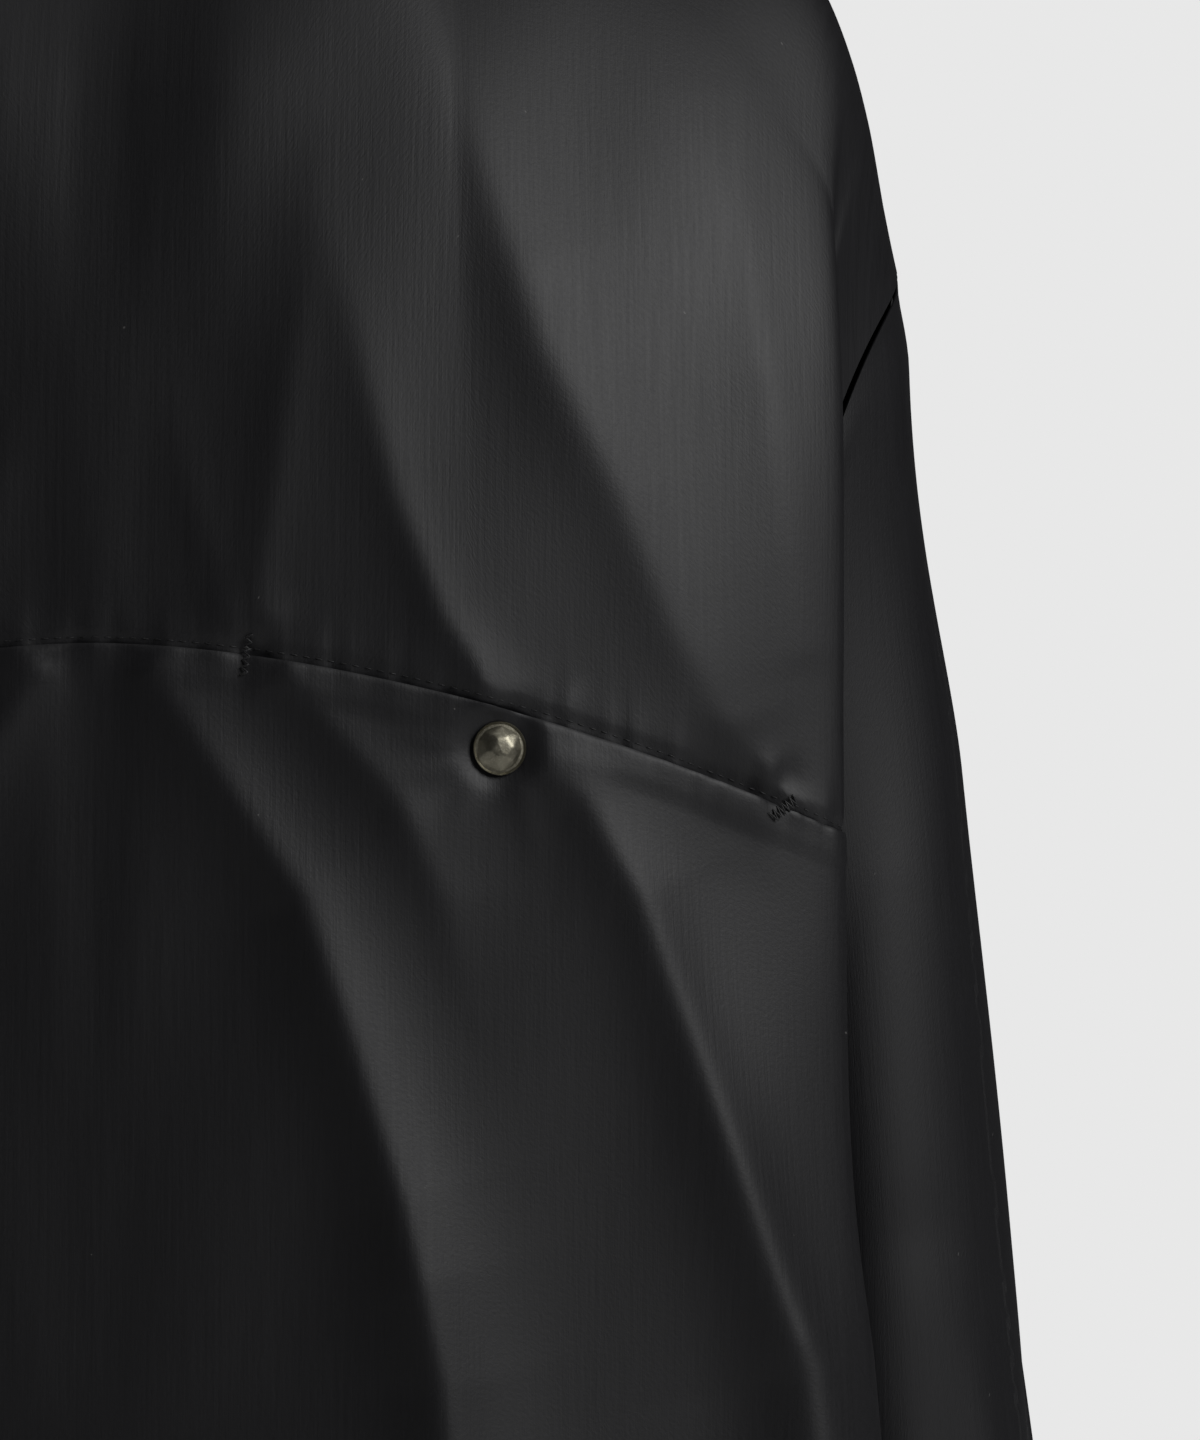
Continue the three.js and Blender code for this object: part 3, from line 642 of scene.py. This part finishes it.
def set_the_stage():
    camera = bpy.data.cameras.new("camera")
    camera.sensor_fit = "VERTICAL"
    camera.sensor_height = 36
    camera.sensor_width = 36
    camera.lens = 36 / 2 / (200 / 1700)
    camera.clip_start, camera.clip_end = 0.1, 60
    held = bpy.data.objects.new("camera", camera)
    held.location = (0.139, -1.815, -0.2847)
    held.rotation_euler = (math.pi / 2, 0, 0)
    bpy.context.scene.collection.objects.link(held)
    bpy.context.scene.camera = held

    def lamp(name, spot, aim, size, power):
        light = bpy.data.lights.new(name, "AREA")
        light.shape, light.size, light.size_y = "RECTANGLE", size[0], size[1]
        light.energy = power
        obj = bpy.data.objects.new(name, light)
        obj.location = spot
        obj.rotation_mode = "QUATERNION"
        obj.rotation_quaternion = (Vector(aim) - Vector(spot)).to_track_quat("-Z", "Y")
        bpy.context.scene.collection.objects.link(obj)

    lamp("key", (1.85, -1.3, 0.85), (0.12, -0.1, -0.25), (1.2, 1.3), 34)
    lamp("top", (0.2, -0.7, 1.7), (0.1, -0.05, -0.3), (1.4, 0.9), 2.2)
    lamp("fill", (-1.9, -1.7, 0.1), (0.0, 0.0, -0.5), (1.2, 1.6), 0.6)
    lamp("rear", (-1.6, 2.2, 0.9), (0.0, 0.0, -0.45), (1.4, 1.6), 42)
    lamp("rear_low", (-0.5, 2.7, 0.0), (0.0, 0.0, -0.6), (1.2, 1.6), 24)

    world = bpy.data.worlds.new("studio")
    bpy.context.scene.world = world
    world.use_nodes = True
    nodes, links = world.node_tree.nodes, world.node_tree.links
    seen = nodes.new("ShaderNodeBackground")
    seen.inputs[0].default_value, seen.inputs[1].default_value = (0.807, 0.807, 0.807, 1), 1
    lit = next(n for n in nodes if n.type == "BACKGROUND" and n != seen)
    lit.inputs[0].default_value, lit.inputs[1].default_value = (0.8, 0.8, 0.8, 1), 0.03
    path, mix = nodes.new("ShaderNodeLightPath"), nodes.new("ShaderNodeMixShader")
    links.new(path.outputs["Is Camera Ray"], mix.inputs[0])
    links.new(lit.outputs[0], mix.inputs[1])
    links.new(seen.outputs[0], mix.inputs[2])
    out = next(n for n in nodes if n.type == "OUTPUT_WORLD")
    links.new(mix.outputs[0], out.inputs[0])

    bm = bmesh.new()
    bmesh.ops.create_circle(bm, cap_ends=True, segments=96, radius=2.6)
    bmesh.ops.translate(bm, verts=bm.verts[:], vec=(0, 0, -1.062))
    floor = to_object(bm, "floor", pale_ground("pale_ground"))
    bpy.context.scene.view_settings.view_transform = "Standard"


set_the_stage()


# ---- the cape ----

LIP_IN_U, LIP_OUT_U = station_at(MOUTH_IN), station_at(MOUTH_OUT)


def vertex_places(obj):
    co = np.empty(len(obj.data.vertices) * 3)
    obj.data.vertices.foreach_get("co", co)
    return co.reshape(-1, 3) / MM


def set_weights(obj, weights):
    obj.data.update()


def lip_weights(p):
    """1 on the pocket lip, round its snap, falling to 0 at the tacks and at the depth of the hinge."""
    x = np.abs(p[:, 0])
    depth = seam_height(x) - p[:, 2]
    w = smooth(MOUTH_IN + 2, MOUTH_IN + 42, x) * (1 - smooth(MOUTH_OUT - 52, MOUTH_OUT - 3, x))
    return w * (1 - smooth(20, 42, depth)) * (p[:, 1] < -70)


def back_weights(q, sign):
    """0 on the side of the back, 1 beyond its slanted fold."""
    hinge = BACK_HINGE_X + q[:, 2] * BACK_HINGE_AXIS[0] / BACK_HINGE_AXIS[2]
    w = 1 - smooth(-14, 10, sign * q[:, 0] - hinge)
    return np.where(q[:, 1] > 0, w, 0.0)


def make_yoke():
    side = np.linspace(3.0, 5.0, 35)
    u = np.round(np.concatenate([-side[::-1], np.linspace(-3.0, 3.0, 231)[1:-1], side]), 6)
    v = np.concatenate([spacing((0.004, 0.8, 84), (0.8, 0.985, 26), (0.985, 1.0, 6)), [1.018, 1.04]])
    uu, vv = np.meshgrid(u, v)
    p = mirrored(yoke_at)(uu, vv)
    n = normals(p)
    reach = (1 - smooth(2.85, 3.5, np.abs(uu))) * smooth(0.02, 0.2, vv)
    h = front_folds(p, reach)
    down = along(p, 0)
    below = np.maximum(vv - 1, 0) * 100
    h = h - 0.9 * smooth(0.985, 1.0, vv) - 0.35 * np.minimum(below, 3)
    x = np.abs(p[..., 0])
    above = np.maximum(seam_height(x), -320)
    pucker = 0.4 * np.sin(x * 0.54 + 1.2 + 2 * np.sin(x * 0.09)) + 0.25 * np.sin(x * 1.03)
    h = h + pucker * np.exp(-np.maximum(p[..., 2] - above, 0) / 6) * reach
    gape = smooth(158, 174, x) * (1 - smooth(182, 189, x)) * smooth(0.955, 0.995, vv)
    h = h - 1.8 * gape
    obj = cloth("yoke", set_out(p + n * h[..., None]), (p[..., 0], down), TAFFETA)
    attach(obj, "gown")
    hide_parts("yoke_front")
    return obj


def front_rows():
    fine = [0, 0.4, 0.9, 1.5, 2.3, 3.4]
    while fine[-1] < 215:
        fine.append(fine[-1] + 2.4)
    while fine[-1] < 700:
        fine.append(fine[-1] + 7.5)
    fine += [715, 728, 740, 749, 756, 761, 764, 767, 770, 773, 775, 776, SEAM_Z - HEM_Z]
    return np.array(fine)


def make_front_half(side):
    sign = 1 if side == "left" else -1
    u = spacing((0.0, 3.2, 108), (3.2, 5.0, 24))
    uu, dd = np.meshgrid(u, front_rows())
    p = front_at(uu, dd)
    if sign < 0:
        p = p[:, ::-1] * np.array([-1, 1, 1])
        uu = uu[:, ::-1]
    n = normals(p)
    h = front_folds(p, 1 - smooth(2.85, 3.5, uu))
    side_wave = np.sin(uu * 4.2 + 0.5) * smooth(3.2, 3.9, uu) * smooth(60, 700, dd)
    h = h + 4.0 * side_wave
    x = np.abs(p[..., 0])
    lip = smooth(MOUTH_IN - 2, MOUTH_IN + 4, x) * (1 - smooth(MOUTH_OUT - 4, MOUTH_OUT + 2, x))
    h = h + turned_edge(dd, 9, 0.35) + 0.3 * lip * (1 - smooth(4, 12, dd))
    h = h + lerp(0.3, 0.6, lip) * (1 - smooth(2, 30, dd))
    pucker = 0.35 * np.sin(x * 0.62 + 2 * np.sin(x * 0.11)) + 0.25 * np.sin(x * 1.17 + 1.0)
    h = h + pucker * np.exp(-dd / 5) * lerp(1, 0.5, lip)
    gape = smooth(160, 174, x) * (1 - smooth(182, 190, x)) * (1 - smooth(2, 14, dd))
    h = h + 0.9 * gape
    left = (SEAM_Z - HEM_Z) - dd
    h = h + 0.5 * (1 - smooth(17, 19.5, left)) - 0.25 * np.exp(-((left - 18) / 1.2) ** 2)
    down = along(p, 0)
    obj = cloth(f"front_{side}", set_out(p + n * h[..., None]), (p[..., 0], down + 200), TAFFETA)
    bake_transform(obj)
    set_weights(obj, lip_weights(vertex_places(obj)))
    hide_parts("front_panel", f"pocket_lip_{side}")
    return obj


def back_rows():
    upper_rows = spacing((0.004, 1.0, 76))
    lower_rows = spacing((1.0, 1.94, 96), (1.94, 2.0, 16))
    return np.concatenate([upper_rows, lower_rows[1:]])


def make_back_half(side):
    sign = 1 if side == "left" else -1
    u = spacing((5.012, 6.5, 26), (6.5, 7.5, 30), (7.5, 10.0, 56), (10.0, BACK_EDGE_U, 12))
    uu, vv = np.meshgrid(u, back_rows())
    p = back_at(uu, vv)
    if side == "left":
        p[..., 1] += STANDOFF * smooth(9.25, 9.7, uu)
    if sign < 0:
        p = p[:, ::-1] * np.array([-1, 1, 1])
        uu, vv = uu[:, ::-1], vv[:, ::-1]
    n = normals(p)
    z = p[..., 2]
    low = smooth(-330, -1000, z)
    wave = np.cos(uu * 3.3 + 0.4) + 0.5 * np.cos(uu * 6.1 + 1.9)
    seams = 1 - np.exp(-((uu - 5) / 0.3) ** 2)
    h = 7.5 * low * wave * seams * (1 - smooth(9.1, 9.5, uu))
    blade = (1 - smooth(7.6, 9.2, uu)) * smooth(5.2, 6.0, uu)
    blade = blade * smooth(0.1, 0.5, vv) * (1 - smooth(1.0, 1.3, vv))
    h = h + 1.4 * blade * np.sin(uu * 5.0 - vv * 4.0)
    pull = np.zeros(uu.shape)
    for level in (-150, -330, -510):
        away = (uu - BACK_U) * BACK_U_WIDTH
        d = np.hypot(away, z - level)
        pull = pull + 0.8 * np.exp(-(d / 26) ** 2) * np.cos(np.arctan2(z - level, away) * 3)
    h = h + pull * (1 - smooth(9.9, 10.2, uu)) * 0.5
    rim = (BACK_EDGE_U - uu) * BACK_U_WIDTH
    h = h + 0.4 * (1 - smooth(20, 22, rim))
    left = (2 - np.maximum(vv, 1)) * (UNDERARM_Z - HEM_Z)
    h = h + 0.5 * (1 - smooth(17, 19.5, left))
    across, down = flat_of(p)
    corner = np.exp(-((uu - 8.0) / 0.55) ** 2) * (1 - smooth(-470, -400, z)) * smooth(-760, -560, z)
    h = h + 17 * corner
    obj = cloth(f"back_{side}", set_out(p + n * h[..., None]), (across + 300, down), TAFFETA)
    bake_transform(obj)
    set_weights(obj, back_weights(vertex_places(obj), sign))
    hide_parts(f"back_side_{side}", f"back_flap_{side}")
    return obj


def make_sleeve(side):
    sign = 1 if side == "left" else -1
    angle = np.linspace(SEAM_ANGLE, SEAM_ANGLE + 2 * math.pi, 145)
    v = spacing((0.0, 0.06, 8), (0.06, 0.97, 120), (0.97, 1.0, 5))
    aa, vv = np.meshgrid(angle, v)
    p = sleeve_at(aa, vv)
    n = -normals(np.concatenate([p[:, -2:-1], p, p[:, 1:2]], 1))[:, 1:-1]
    z = p[..., 2]
    ring = smooth(0.0, 0.05, vv)
    soft = 1.7 * np.sin(2 * aa + vv * 5.0 + 0.6) + 1.1 * np.sin(3 * aa - vv * 9.0 + 1.5)
    crush = 1.3 * np.sin(7 * aa + 2.4 * np.sin(vv * 11)) + 0.8 * np.sin(11 * aa + vv * 16)
    crush = smooth(0.55, 0.98, vv) * crush
    gather = smooth(0.88, 1.0, vv) * 1.2 * np.sin(26 * aa)
    h = (soft * (1 - smooth(0.93, 1.0, vv)) + crush * (1 - smooth(0.96, 1, vv))) * ring + gather
    bend = 0.5 * np.exp(-((z + 420 + 14 * np.sin(aa)) / 12) ** 2) * np.maximum(np.sin(aa), 0)
    h = h - bend * ring - 0.5 * (1 - smooth(0.0, 0.03, vv))
    p = set_out(p + n * h[..., None])
    if sign < 0:
        p = p[:, ::-1] * np.array([-1, 1, 1])
    across, down = flat_of(p)
    obj = cloth(f"sleeve_{side}", p, (across + 900, down), SLEEVE_CLOTH, closed=True)
    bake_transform(obj)
    q = vertex_places(obj)
    top = -241.5 + 88.5 * np.clip((sign * q[:, 0] - 187.5) / 31.5, -1, 1)
    fall = np.maximum(top - q[:, 2], 0)
    reach = lerp(280, 205, np.clip((sign * q[:, 0] - 156) / 63, 0, 1))
    set_weights(obj, smooth(0, 1, fall / reach))
    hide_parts(f"sleeve_{side}")
    return obj


def make_cuff(side):
    sign = 1 if side == "left" else -1
    profile = [(33.2, 0), (33.9, -0.4), (34.4, -2), (34.7, -7), (34.8, -14), (34.7, -21), (34.3, -26),
               (33.3, -27.6), (31.5, -28), (29.5, -27.7), (28.3, -26.5), (27.9, -22), (27.8, -14),
               (27.9, -6), (28.3, -1.5)]
    steps = spline([(r, z, 0) for r, z in profile])(np.linspace(0, 1, 44))
    angle = np.linspace(0, 2 * math.pi, 313)
    aa, k = np.meshgrid(angle, np.arange(44))
    r, z = steps[..., 0][k], steps[..., 1][k]
    pinch = np.exp(-((z + 8) / 1.0) ** 2) + np.exp(-((z + 20) / 1.0) ** 2)
    gather = (0.55 + 0.35 * np.sin(5 * aa + 1)) * np.sin(39 * aa + 1.5 * np.sin(4 * aa + z * 0.05))
    outside = r > 31
    r = r + np.where(outside, gather * smooth(0, -3, z) - 0.35 * pinch, 0.4 * gather)
    centre = sleeve_x(CUFF_Z) - SLEEVE_RADIUS
    p = np.stack([sign * (centre + r * np.cos(aa)), 4 - r * np.sin(aa) * 40 / SLEEVE_RADIUS, CUFF_Z + z], -1)
    across, down = flat_of(p)
    obj = cloth(f"cuff_{side}", p, (across + 1200, down), SLEEVE_CLOTH, closed=True)
    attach(obj, f"arm_{side}")
    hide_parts(f"cuff_{side}")
    return obj


def make_band(name, start, end, lifted, sign, body, nodes):
    angle = np.linspace(start, end, 120)
    steps = np.linspace(0, 1.22, 18)
    aa, hh = np.meshgrid(angle, steps)
    p = band_at(aa, hh)
    n = normals(p)
    reach = STANDOFF * smooth(2.35, 2.8, aa) if lifted else 0 * aa
    roll = -0.5 * np.exp(-hh * 32 / 1.2)
    ripple = 0.25 * np.sin(aa * 17 + hh * 2) + 0.18 * np.sin(aa * 31 - hh * 3)
    p = p + n * (reach + roll + ripple)[..., None]
    if sign < 0:
        p = p[:, ::-1] * np.array([-1, 1, 1])
    across, down = flat_of(p)
    obj = cloth(name, p, (across + 1500, down), TAFFETA, thickness=1.4)
    if body == "gown":
        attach(obj, "gown")
    else:
        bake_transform(obj)
        q = vertex_places(obj)
        set_weights(obj, smooth(0.0, 1.0, (90 - np.abs(q[:, 0])) / 40 + (q[:, 1] - 60) / 40))
    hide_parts(*nodes)
    return obj


def make_bag(side):
    """Pocket bag: one folded piece, its front behind the lip and its back hanging behind that."""
    sign = 1 if side == "left" else -1
    u = np.linspace(LIP_IN_U, LIP_OUT_U, 61)
    down_front = spacing((6.0, BAG_DEPTH, 52))
    down_back = down_front[::-1]
    rows = np.concatenate([down_front, [BAG_DEPTH + 2.0], down_back[:-1], [4.0, 2.0]])
    back = np.concatenate([np.zeros(len(down_front)), [0.5], np.ones(len(down_back) + 1)])
    uu, dd = np.meshgrid(u, rows)
    bb = np.meshgrid(u, back)[1]
    edge = seam_z(uu)
    base = section(uu, edge - dd)
    out = normals(section(uu, edge - np.sort(dd, axis=0)))
    order = np.argsort(np.argsort(dd, axis=0, kind="stable"), axis=0)
    out = np.take_along_axis(out, order[..., None], 0)
    side_close = np.minimum(1, np.minimum(uu - LIP_IN_U, LIP_OUT_U - uu) / 0.18)
    rear = lerp(6.8, 14.0, smooth(36, 80, dd)) + 0.8 * np.sin(uu * 9) * smooth(40, 90, dd)
    depth = lerp(2.6, lerp(2.9, rear, np.sqrt(side_close)), bb)
    p = base - out * depth[..., None]
    if sign < 0:
        p = p[:, ::-1] * np.array([-1, 1, 1])
        bb = bb[:, ::-1]
    across, down = flat_of(p)
    obj = cloth(f"pocket_bag_{side}", p, (across + 1800, down), TAFFETA, thickness=0.4)
    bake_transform(obj)
    q = vertex_places(obj)
    w = lip_weights(q)
    u_of = np.abs(q[:, 0])
    face = np.interp(u_of, np.abs(section(u, -300.0)[:, 0]), section(u, -300.0)[:, 1])
    near = 1 - smooth(3.6, 5.2, q[:, 1] - face)
    set_weights(obj, w * near)
    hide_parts(f"pocket_bag_{side}")
    return obj


PIECES = {"yoke": make_yoke()}
for SIDE in ("left", "right"):
    PIECES[f"front_{SIDE}"] = make_front_half(SIDE)
    PIECES[f"back_{SIDE}"] = make_back_half(SIDE)
    PIECES[f"sleeve_{SIDE}"] = make_sleeve(SIDE)
    PIECES[f"cuff_{SIDE}"] = make_cuff(SIDE)
    PIECES[f"pocket_bag_{SIDE}"] = make_bag(SIDE)
SPLIT = math.radians(104)
PIECES["neckband"] = make_band("neckband", -SPLIT, SPLIT, False, 1, "gown", ["neckband_front"])
PIECES["neckband_left"] = make_band("neckband_left", SPLIT, math.pi + math.radians(17), True, 1, "back_left",
                                    ["neckband_back_left"])
PIECES["neckband_right"] = make_band("neckband_right", SPLIT, math.pi + math.radians(17), False, -1,
                                     "back_right", ["neckband_back_right"])


# ---- snaps ----

def seat_frame(place, out):
    turn = Vector((0, 0, 1)).rotation_difference(Vector(out).normalized())
    return Matrix.Translation(Vector(place) * MM) @ turn.to_matrix().to_4x4()


def spun(profile, steps):
    """A half profile of (radius, height) turned full circle."""
    bm = bmesh.new()
    verts = [bm.verts.new((r, 0, z)) for r, z in profile]
    edges = [bm.edges.new(pair) for pair in zip(verts, verts[1:])]
    bmesh.ops.spin(bm, geom=verts + edges, cent=(0, 0, 0), axis=(0, 0, 1), angle=2 * math.pi, steps=steps,
                   use_merge=True)
    bmesh.ops.remove_doubles(bm, verts=bm.verts[:], dist=1e-4)
    bmesh.ops.recalc_face_normals(bm, faces=bm.faces[:])
    return bm


def turned(name, profile, seat, material, body, node, steps=36, hammer=None):
    """A snap part turned on its axis and set in its seat."""
    bm = spun(profile, steps)
    if hammer:
        hammer(bm)
    bmesh.ops.transform(bm, matrix=seat @ Matrix.Scale(MM, 4), verts=bm.verts[:])
    obj = to_object(bm, name, material, body, smooth_angle=35)
    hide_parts(node)
    return obj


def arc(points, steps):
    curve = spline([(r, z, 0) for r, z in points])(np.linspace(0, 1, steps))
    return [(max(0.0, float(r)), float(z)) for r, z, _ in curve]


DOME = arc([(0, 3.55), (2.2, 3.45), (4.2, 3.1), (5.9, 2.55), (6.9, 2.0), (7.4, 1.5), (7.5, 1.25),
            (7.3, 1.05), (6.9, 1.0)], 26)
CAP = DOME + [(6.4, 1.1), (1.6, 1.15), (1.6, -1.9), (0, -1.9)]
SOCKET = [(2.0, -1.5), (6.4, -1.5), (6.7, -1.8), (6.9, -3.7), (6.6, -4.1), (4.8, -4.2), (4.5, -3.9),
          (4.5, -2.4), (4.3, -2.3), (2.0, -2.3), (2.0, -1.5)]
STUD = [(2.0, -2.7), (3.4, -2.7), (3.7, -2.85), (4.0, -3.3), (3.8, -3.9), (3.7, -4.9), (6.1, -4.9),
        (6.3, -5.1), (6.3, -5.6), (6.1, -5.8), (2.0, -5.8), (2.0, -2.7)]
POST = [(0, -3.6), (1.4, -3.6), (1.6, -3.8), (1.6, -8.6), (6.0, -8.6), (6.2, -8.8), (6.2, -9.2), (6.0, -9.4),
        (0, -9.4)]
BLOWS = [(0.6, 0.5, 0.0), (-2.9, 0.9, 0.04), (2.8, 2.7, 0.05), (-0.6, 3.9, 0.06), (3.7, -0.9, 0.05),
         (1.1, -3.5, 0.06), (-2.5, -3.1, 0.06), (-4.8, 2.7, 0.10), (5.1, 2.0, 0.12), (-5.2, -0.8, 0.10),
         (3.9, -4.2, 0.12), (-1.2, -5.6, 0.14), (1.5, 5.6, 0.14), (-3.0, 4.9, 0.13), (5.9, -1.6, 0.15)]


def hammered(seed):
    """Flattens small facets on the dome, one for each blow of the hammer."""
    turn = Matrix.Rotation(seed * 1.7, 3, "Z")
    planes = []
    for x, y, deeper in BLOWS:
        at = turn @ Vector((x, y, 0))
        ball = Vector((at.x, at.y, 6.4)).normalized()
        planes.append((ball, deeper))

    def strike(bm):
        for vert in bm.verts:
            if vert.co.z < 1.3:
                continue
            p = vert.co + Vector((0, 0, 5.9))
            for out, deeper in planes:
                edge = 9.32 - deeper * 1.4
                over = p.dot(out) - edge
                if over > 0 and p.xy.length < 7.3:
                    p = p - out * over * 0.86
            vert.co = p - Vector((0, 0, 5.9))
    return strike


SNAPS = [
    ("pocket_snap_left", (111.034, -124.604, -292.542), (0.2066, -0.9781, 0.0249), "lip_left", "gown"),
    ("pocket_snap_right", (-111.034, -124.604, -292.542), (-0.2066, -0.9781, 0.0249), "lip_right", "gown"),
]


def snap_axis(name):
    """The direction a back snap faces, from its post towards its cap."""
    cap, post = (sum((Vector(corner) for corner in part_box(f"{name}_{part}")), Vector()) / 2 for part in
                 ("cap", "post"))
    out = (cap - post).normalized()
    return (0.0, out.y, out.z)


SNAPS.append(("neck_snap", (0, 76.31, 12.32), (0, 0.9949, -0.1009), "back_left", "back_right"))
for NAME, PLACE in (("back_snap_1", (0, 116.97, -150)), ("back_snap_2", (0, 125.0, -330)),
                    ("back_snap_3", (0, 134.27, -510))):
    SNAPS.append((NAME, PLACE, snap_axis(NAME), "back_left", "back_right"))

for K, (NAME, PLACE, OUT, OUTER, INNER) in enumerate(SNAPS):
    AT = seat_frame(PLACE, OUT)
    turned(f"{NAME}_dome", CAP, AT, BRASS, OUTER, f"{NAME}_cap", 48, hammered(K))
    turned(f"{NAME}_ring", SOCKET, AT, STEEL, OUTER, f"{NAME}_socket")
    turned(f"{NAME}_button", STUD, AT, STEEL, INNER, f"{NAME}_stud")
    turned(f"{NAME}_rivet", POST, AT, STEEL, INNER, f"{NAME}_post")


# ---- sewing ----

def path_of(points, out, pitch):
    """Places, directions and outward directions at an even pitch along a line of points."""
    step = np.linalg.norm(np.diff(points, axis=0), axis=1)
    run = np.concatenate([[0], np.cumsum(step)])
    at = np.arange(pitch / 2, run[-1], pitch)

    def read(table, where):
        return np.stack([np.interp(where, run, table[:, k]) for k in range(3)], 1)

    return read(points, at), read(points, at + 0.4) - read(points, at - 0.4), read(out, at)


def laid(x, n):
    """A turn that lays a stitch along x and faces it towards n, with the direction that it faces."""
    y = n.cross(x).normalized()
    z = x.cross(y)
    return Matrix((x, y, z)).transposed().to_4x4(), z


def sew(name, lines, length=2.2, width=0.34, lift=0.1):
    """Stitches laid along lines of (points, outward directions, pitch)."""
    bm = bmesh.new()
    for line in lines:
        for place, way, o in zip(*path_of(*line)):
            turn, z = laid(Vector(way).normalized(), Vector(o).normalized())
            size = Matrix.Diagonal((length / 2, width / 2, width / 2 * 0.8, 1))
            spot = Matrix.Translation(Vector(place) * MM + z * lift * MM)
            placed = spot @ turn @ Matrix.Scale(MM, 4) @ size
            bmesh.ops.create_icosphere(bm, subdivisions=1, radius=1, matrix=placed)
    return to_object(bm, name, THREAD, smooth_angle=80)


def row_line(name, row, pitch):
    points = GRIDS[name]
    n = normals(points)
    if name.startswith("cuff") and np.sum(n * (points - points.mean(axis=(0, 1)))) < 0:
        n = -n
    return points[row], n[row], pitch


def column_line(name, column, pitch):
    points = GRIDS[name]
    return points[:, column], normals(points)[:, column], pitch


def nearest_row(name, length, column):
    """The row whose distance above the hem, along a column, is nearest to a length."""
    down = along(GRIDS[name], 0)[:, column]
    return int(np.argmin(np.abs(down[-1] - down - length)))


CHEST_ROW = GRIDS["yoke"].shape[0] - 5
HEM_DEPTH, HEM_PITCH = 17, 4.4
chest = sew("chest_seam_stitches", [row_line("yoke", CHEST_ROW, 3.5)], length=2.3, width=0.4, lift=0.08)
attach(chest, "gown")

for SIDE in ("left", "right"):
    SIGN = 1 if SIDE == "left" else -1
    row = nearest_row(f"front_{SIDE}", HEM_DEPTH, 40)
    hem = sew(f"front_hem_stitches_{SIDE}", [row_line(f"front_{SIDE}", row, HEM_PITCH)])
    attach(hem, "gown")
    name = f"back_{SIDE}"
    row = nearest_row(name, HEM_DEPTH, 60)
    edge_column = GRIDS[name].shape[1] - 1 - 8 if SIDE == "left" else 8
    lines = [row_line(name, row, HEM_PITCH), column_line(name, edge_column, HEM_PITCH)]
    back_sewing = sew(f"back_stitches_{SIDE}", lines)
    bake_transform(back_sewing)
    set_weights(back_sewing, back_weights(vertex_places(back_sewing), SIGN))
    name = f"cuff_{SIDE}"
    rows_out = [int(np.argmin(np.abs(GRIDS[name][:22, 0, 2] - CUFF_Z - z))) for z in (-8, -20)]
    cuff_sewing = sew(f"cuff_stitches_{SIDE}", [row_line(name, r, 3.6) for r in rows_out], length=2.0)
    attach(cuff_sewing, f"arm_{SIDE}")


def zigzag(name, centre_x, along_way, tall, wide, turns, side, node):
    """A bar tack: a close zigzag of thread over the chest seam."""
    sign = 1 if side == "left" else -1
    yoke, front = GRIDS["yoke"], GRIDS[f"front_{side}"]
    cloud = np.concatenate([yoke.reshape(-1, 3), front.reshape(-1, 3)])
    outs = np.concatenate([normals(yoke).reshape(-1, 3), normals(front).reshape(-1, 3)])
    seam = float(seam_height(centre_x))
    spots = []
    for k in range(turns + 1):
        t = k / turns - 0.5
        shift = (wide / 2) * (1 if k % 2 else -1)
        x = centre_x + along_way[0] * t * tall + along_way[1] * shift
        z = seam + along_way[1] * t * tall - along_way[0] * shift
        d = (cloud[:, 0] - sign * x) ** 2 + (cloud[:, 2] - z) ** 2 + np.where(cloud[:, 1] > -40, 1e6, 0)
        near = np.argsort(d)[:6]
        front_most = near[np.argmin(cloud[near, 1])]
        spots.append(((sign * x, cloud[front_most, 1], z), outs[front_most]))
    bm = bmesh.new()
    for (a, n), (b, _) in zip(spots, spots[1:]):
        a, b = Vector(a), Vector(b)
        turn, z = laid((b - a).normalized(), Vector(n))
        size = Matrix.Diagonal(((b - a).length / 2 + 0.25, 0.26, 0.3, 1))
        spot = Matrix.Translation(((a + b) / 2 + z * 0.35) * MM)
        placed = spot @ turn @ Matrix.Scale(MM, 4) @ size
        bmesh.ops.create_icosphere(bm, subdivisions=2, radius=1, matrix=placed)
    obj = to_object(bm, name, THREAD, "gown", smooth_angle=80)
    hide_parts(node)


for SIDE in ("left", "right"):
    zigzag(f"bar_tack_inner_{SIDE}", TACK_IN_AT[0], (0.12, 0.99), 11.5, 1.9, 11, SIDE, f"tack_inner_{SIDE}")
    zigzag(f"bar_tack_outer_{SIDE}", TACK_OUT_AT[0], (0.80, 0.60), 8.5, 3.4, 12, SIDE, f"tack_outer_{SIDE}")


def make_elastic(side):
    sign = 1 if side == "left" else -1
    bm = spun([(30.2, -6), (30.0, -9), (30.0, -21), (30.2, -24), (32.2, -24), (32.4, -21), (32.4, -9),
               (32.2, -6), (30.2, -6)], 120)
    centre = sleeve_x(CUFF_Z) - SLEEVE_RADIUS
    bmesh.ops.transform(bm, matrix=Matrix.Translation((sign * centre * MM, 4 * MM, CUFF_Z * MM))
                        @ Matrix.Diagonal((MM, MM * 40 / SLEEVE_RADIUS, MM, 1)), verts=bm.verts[:])
    obj = to_object(bm, f"cuff_elastic_{side}", ELASTIC, f"arm_{side}")
    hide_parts(f"elastic_{side}")


for SIDE in ("left", "right"):
    make_elastic(SIDE)
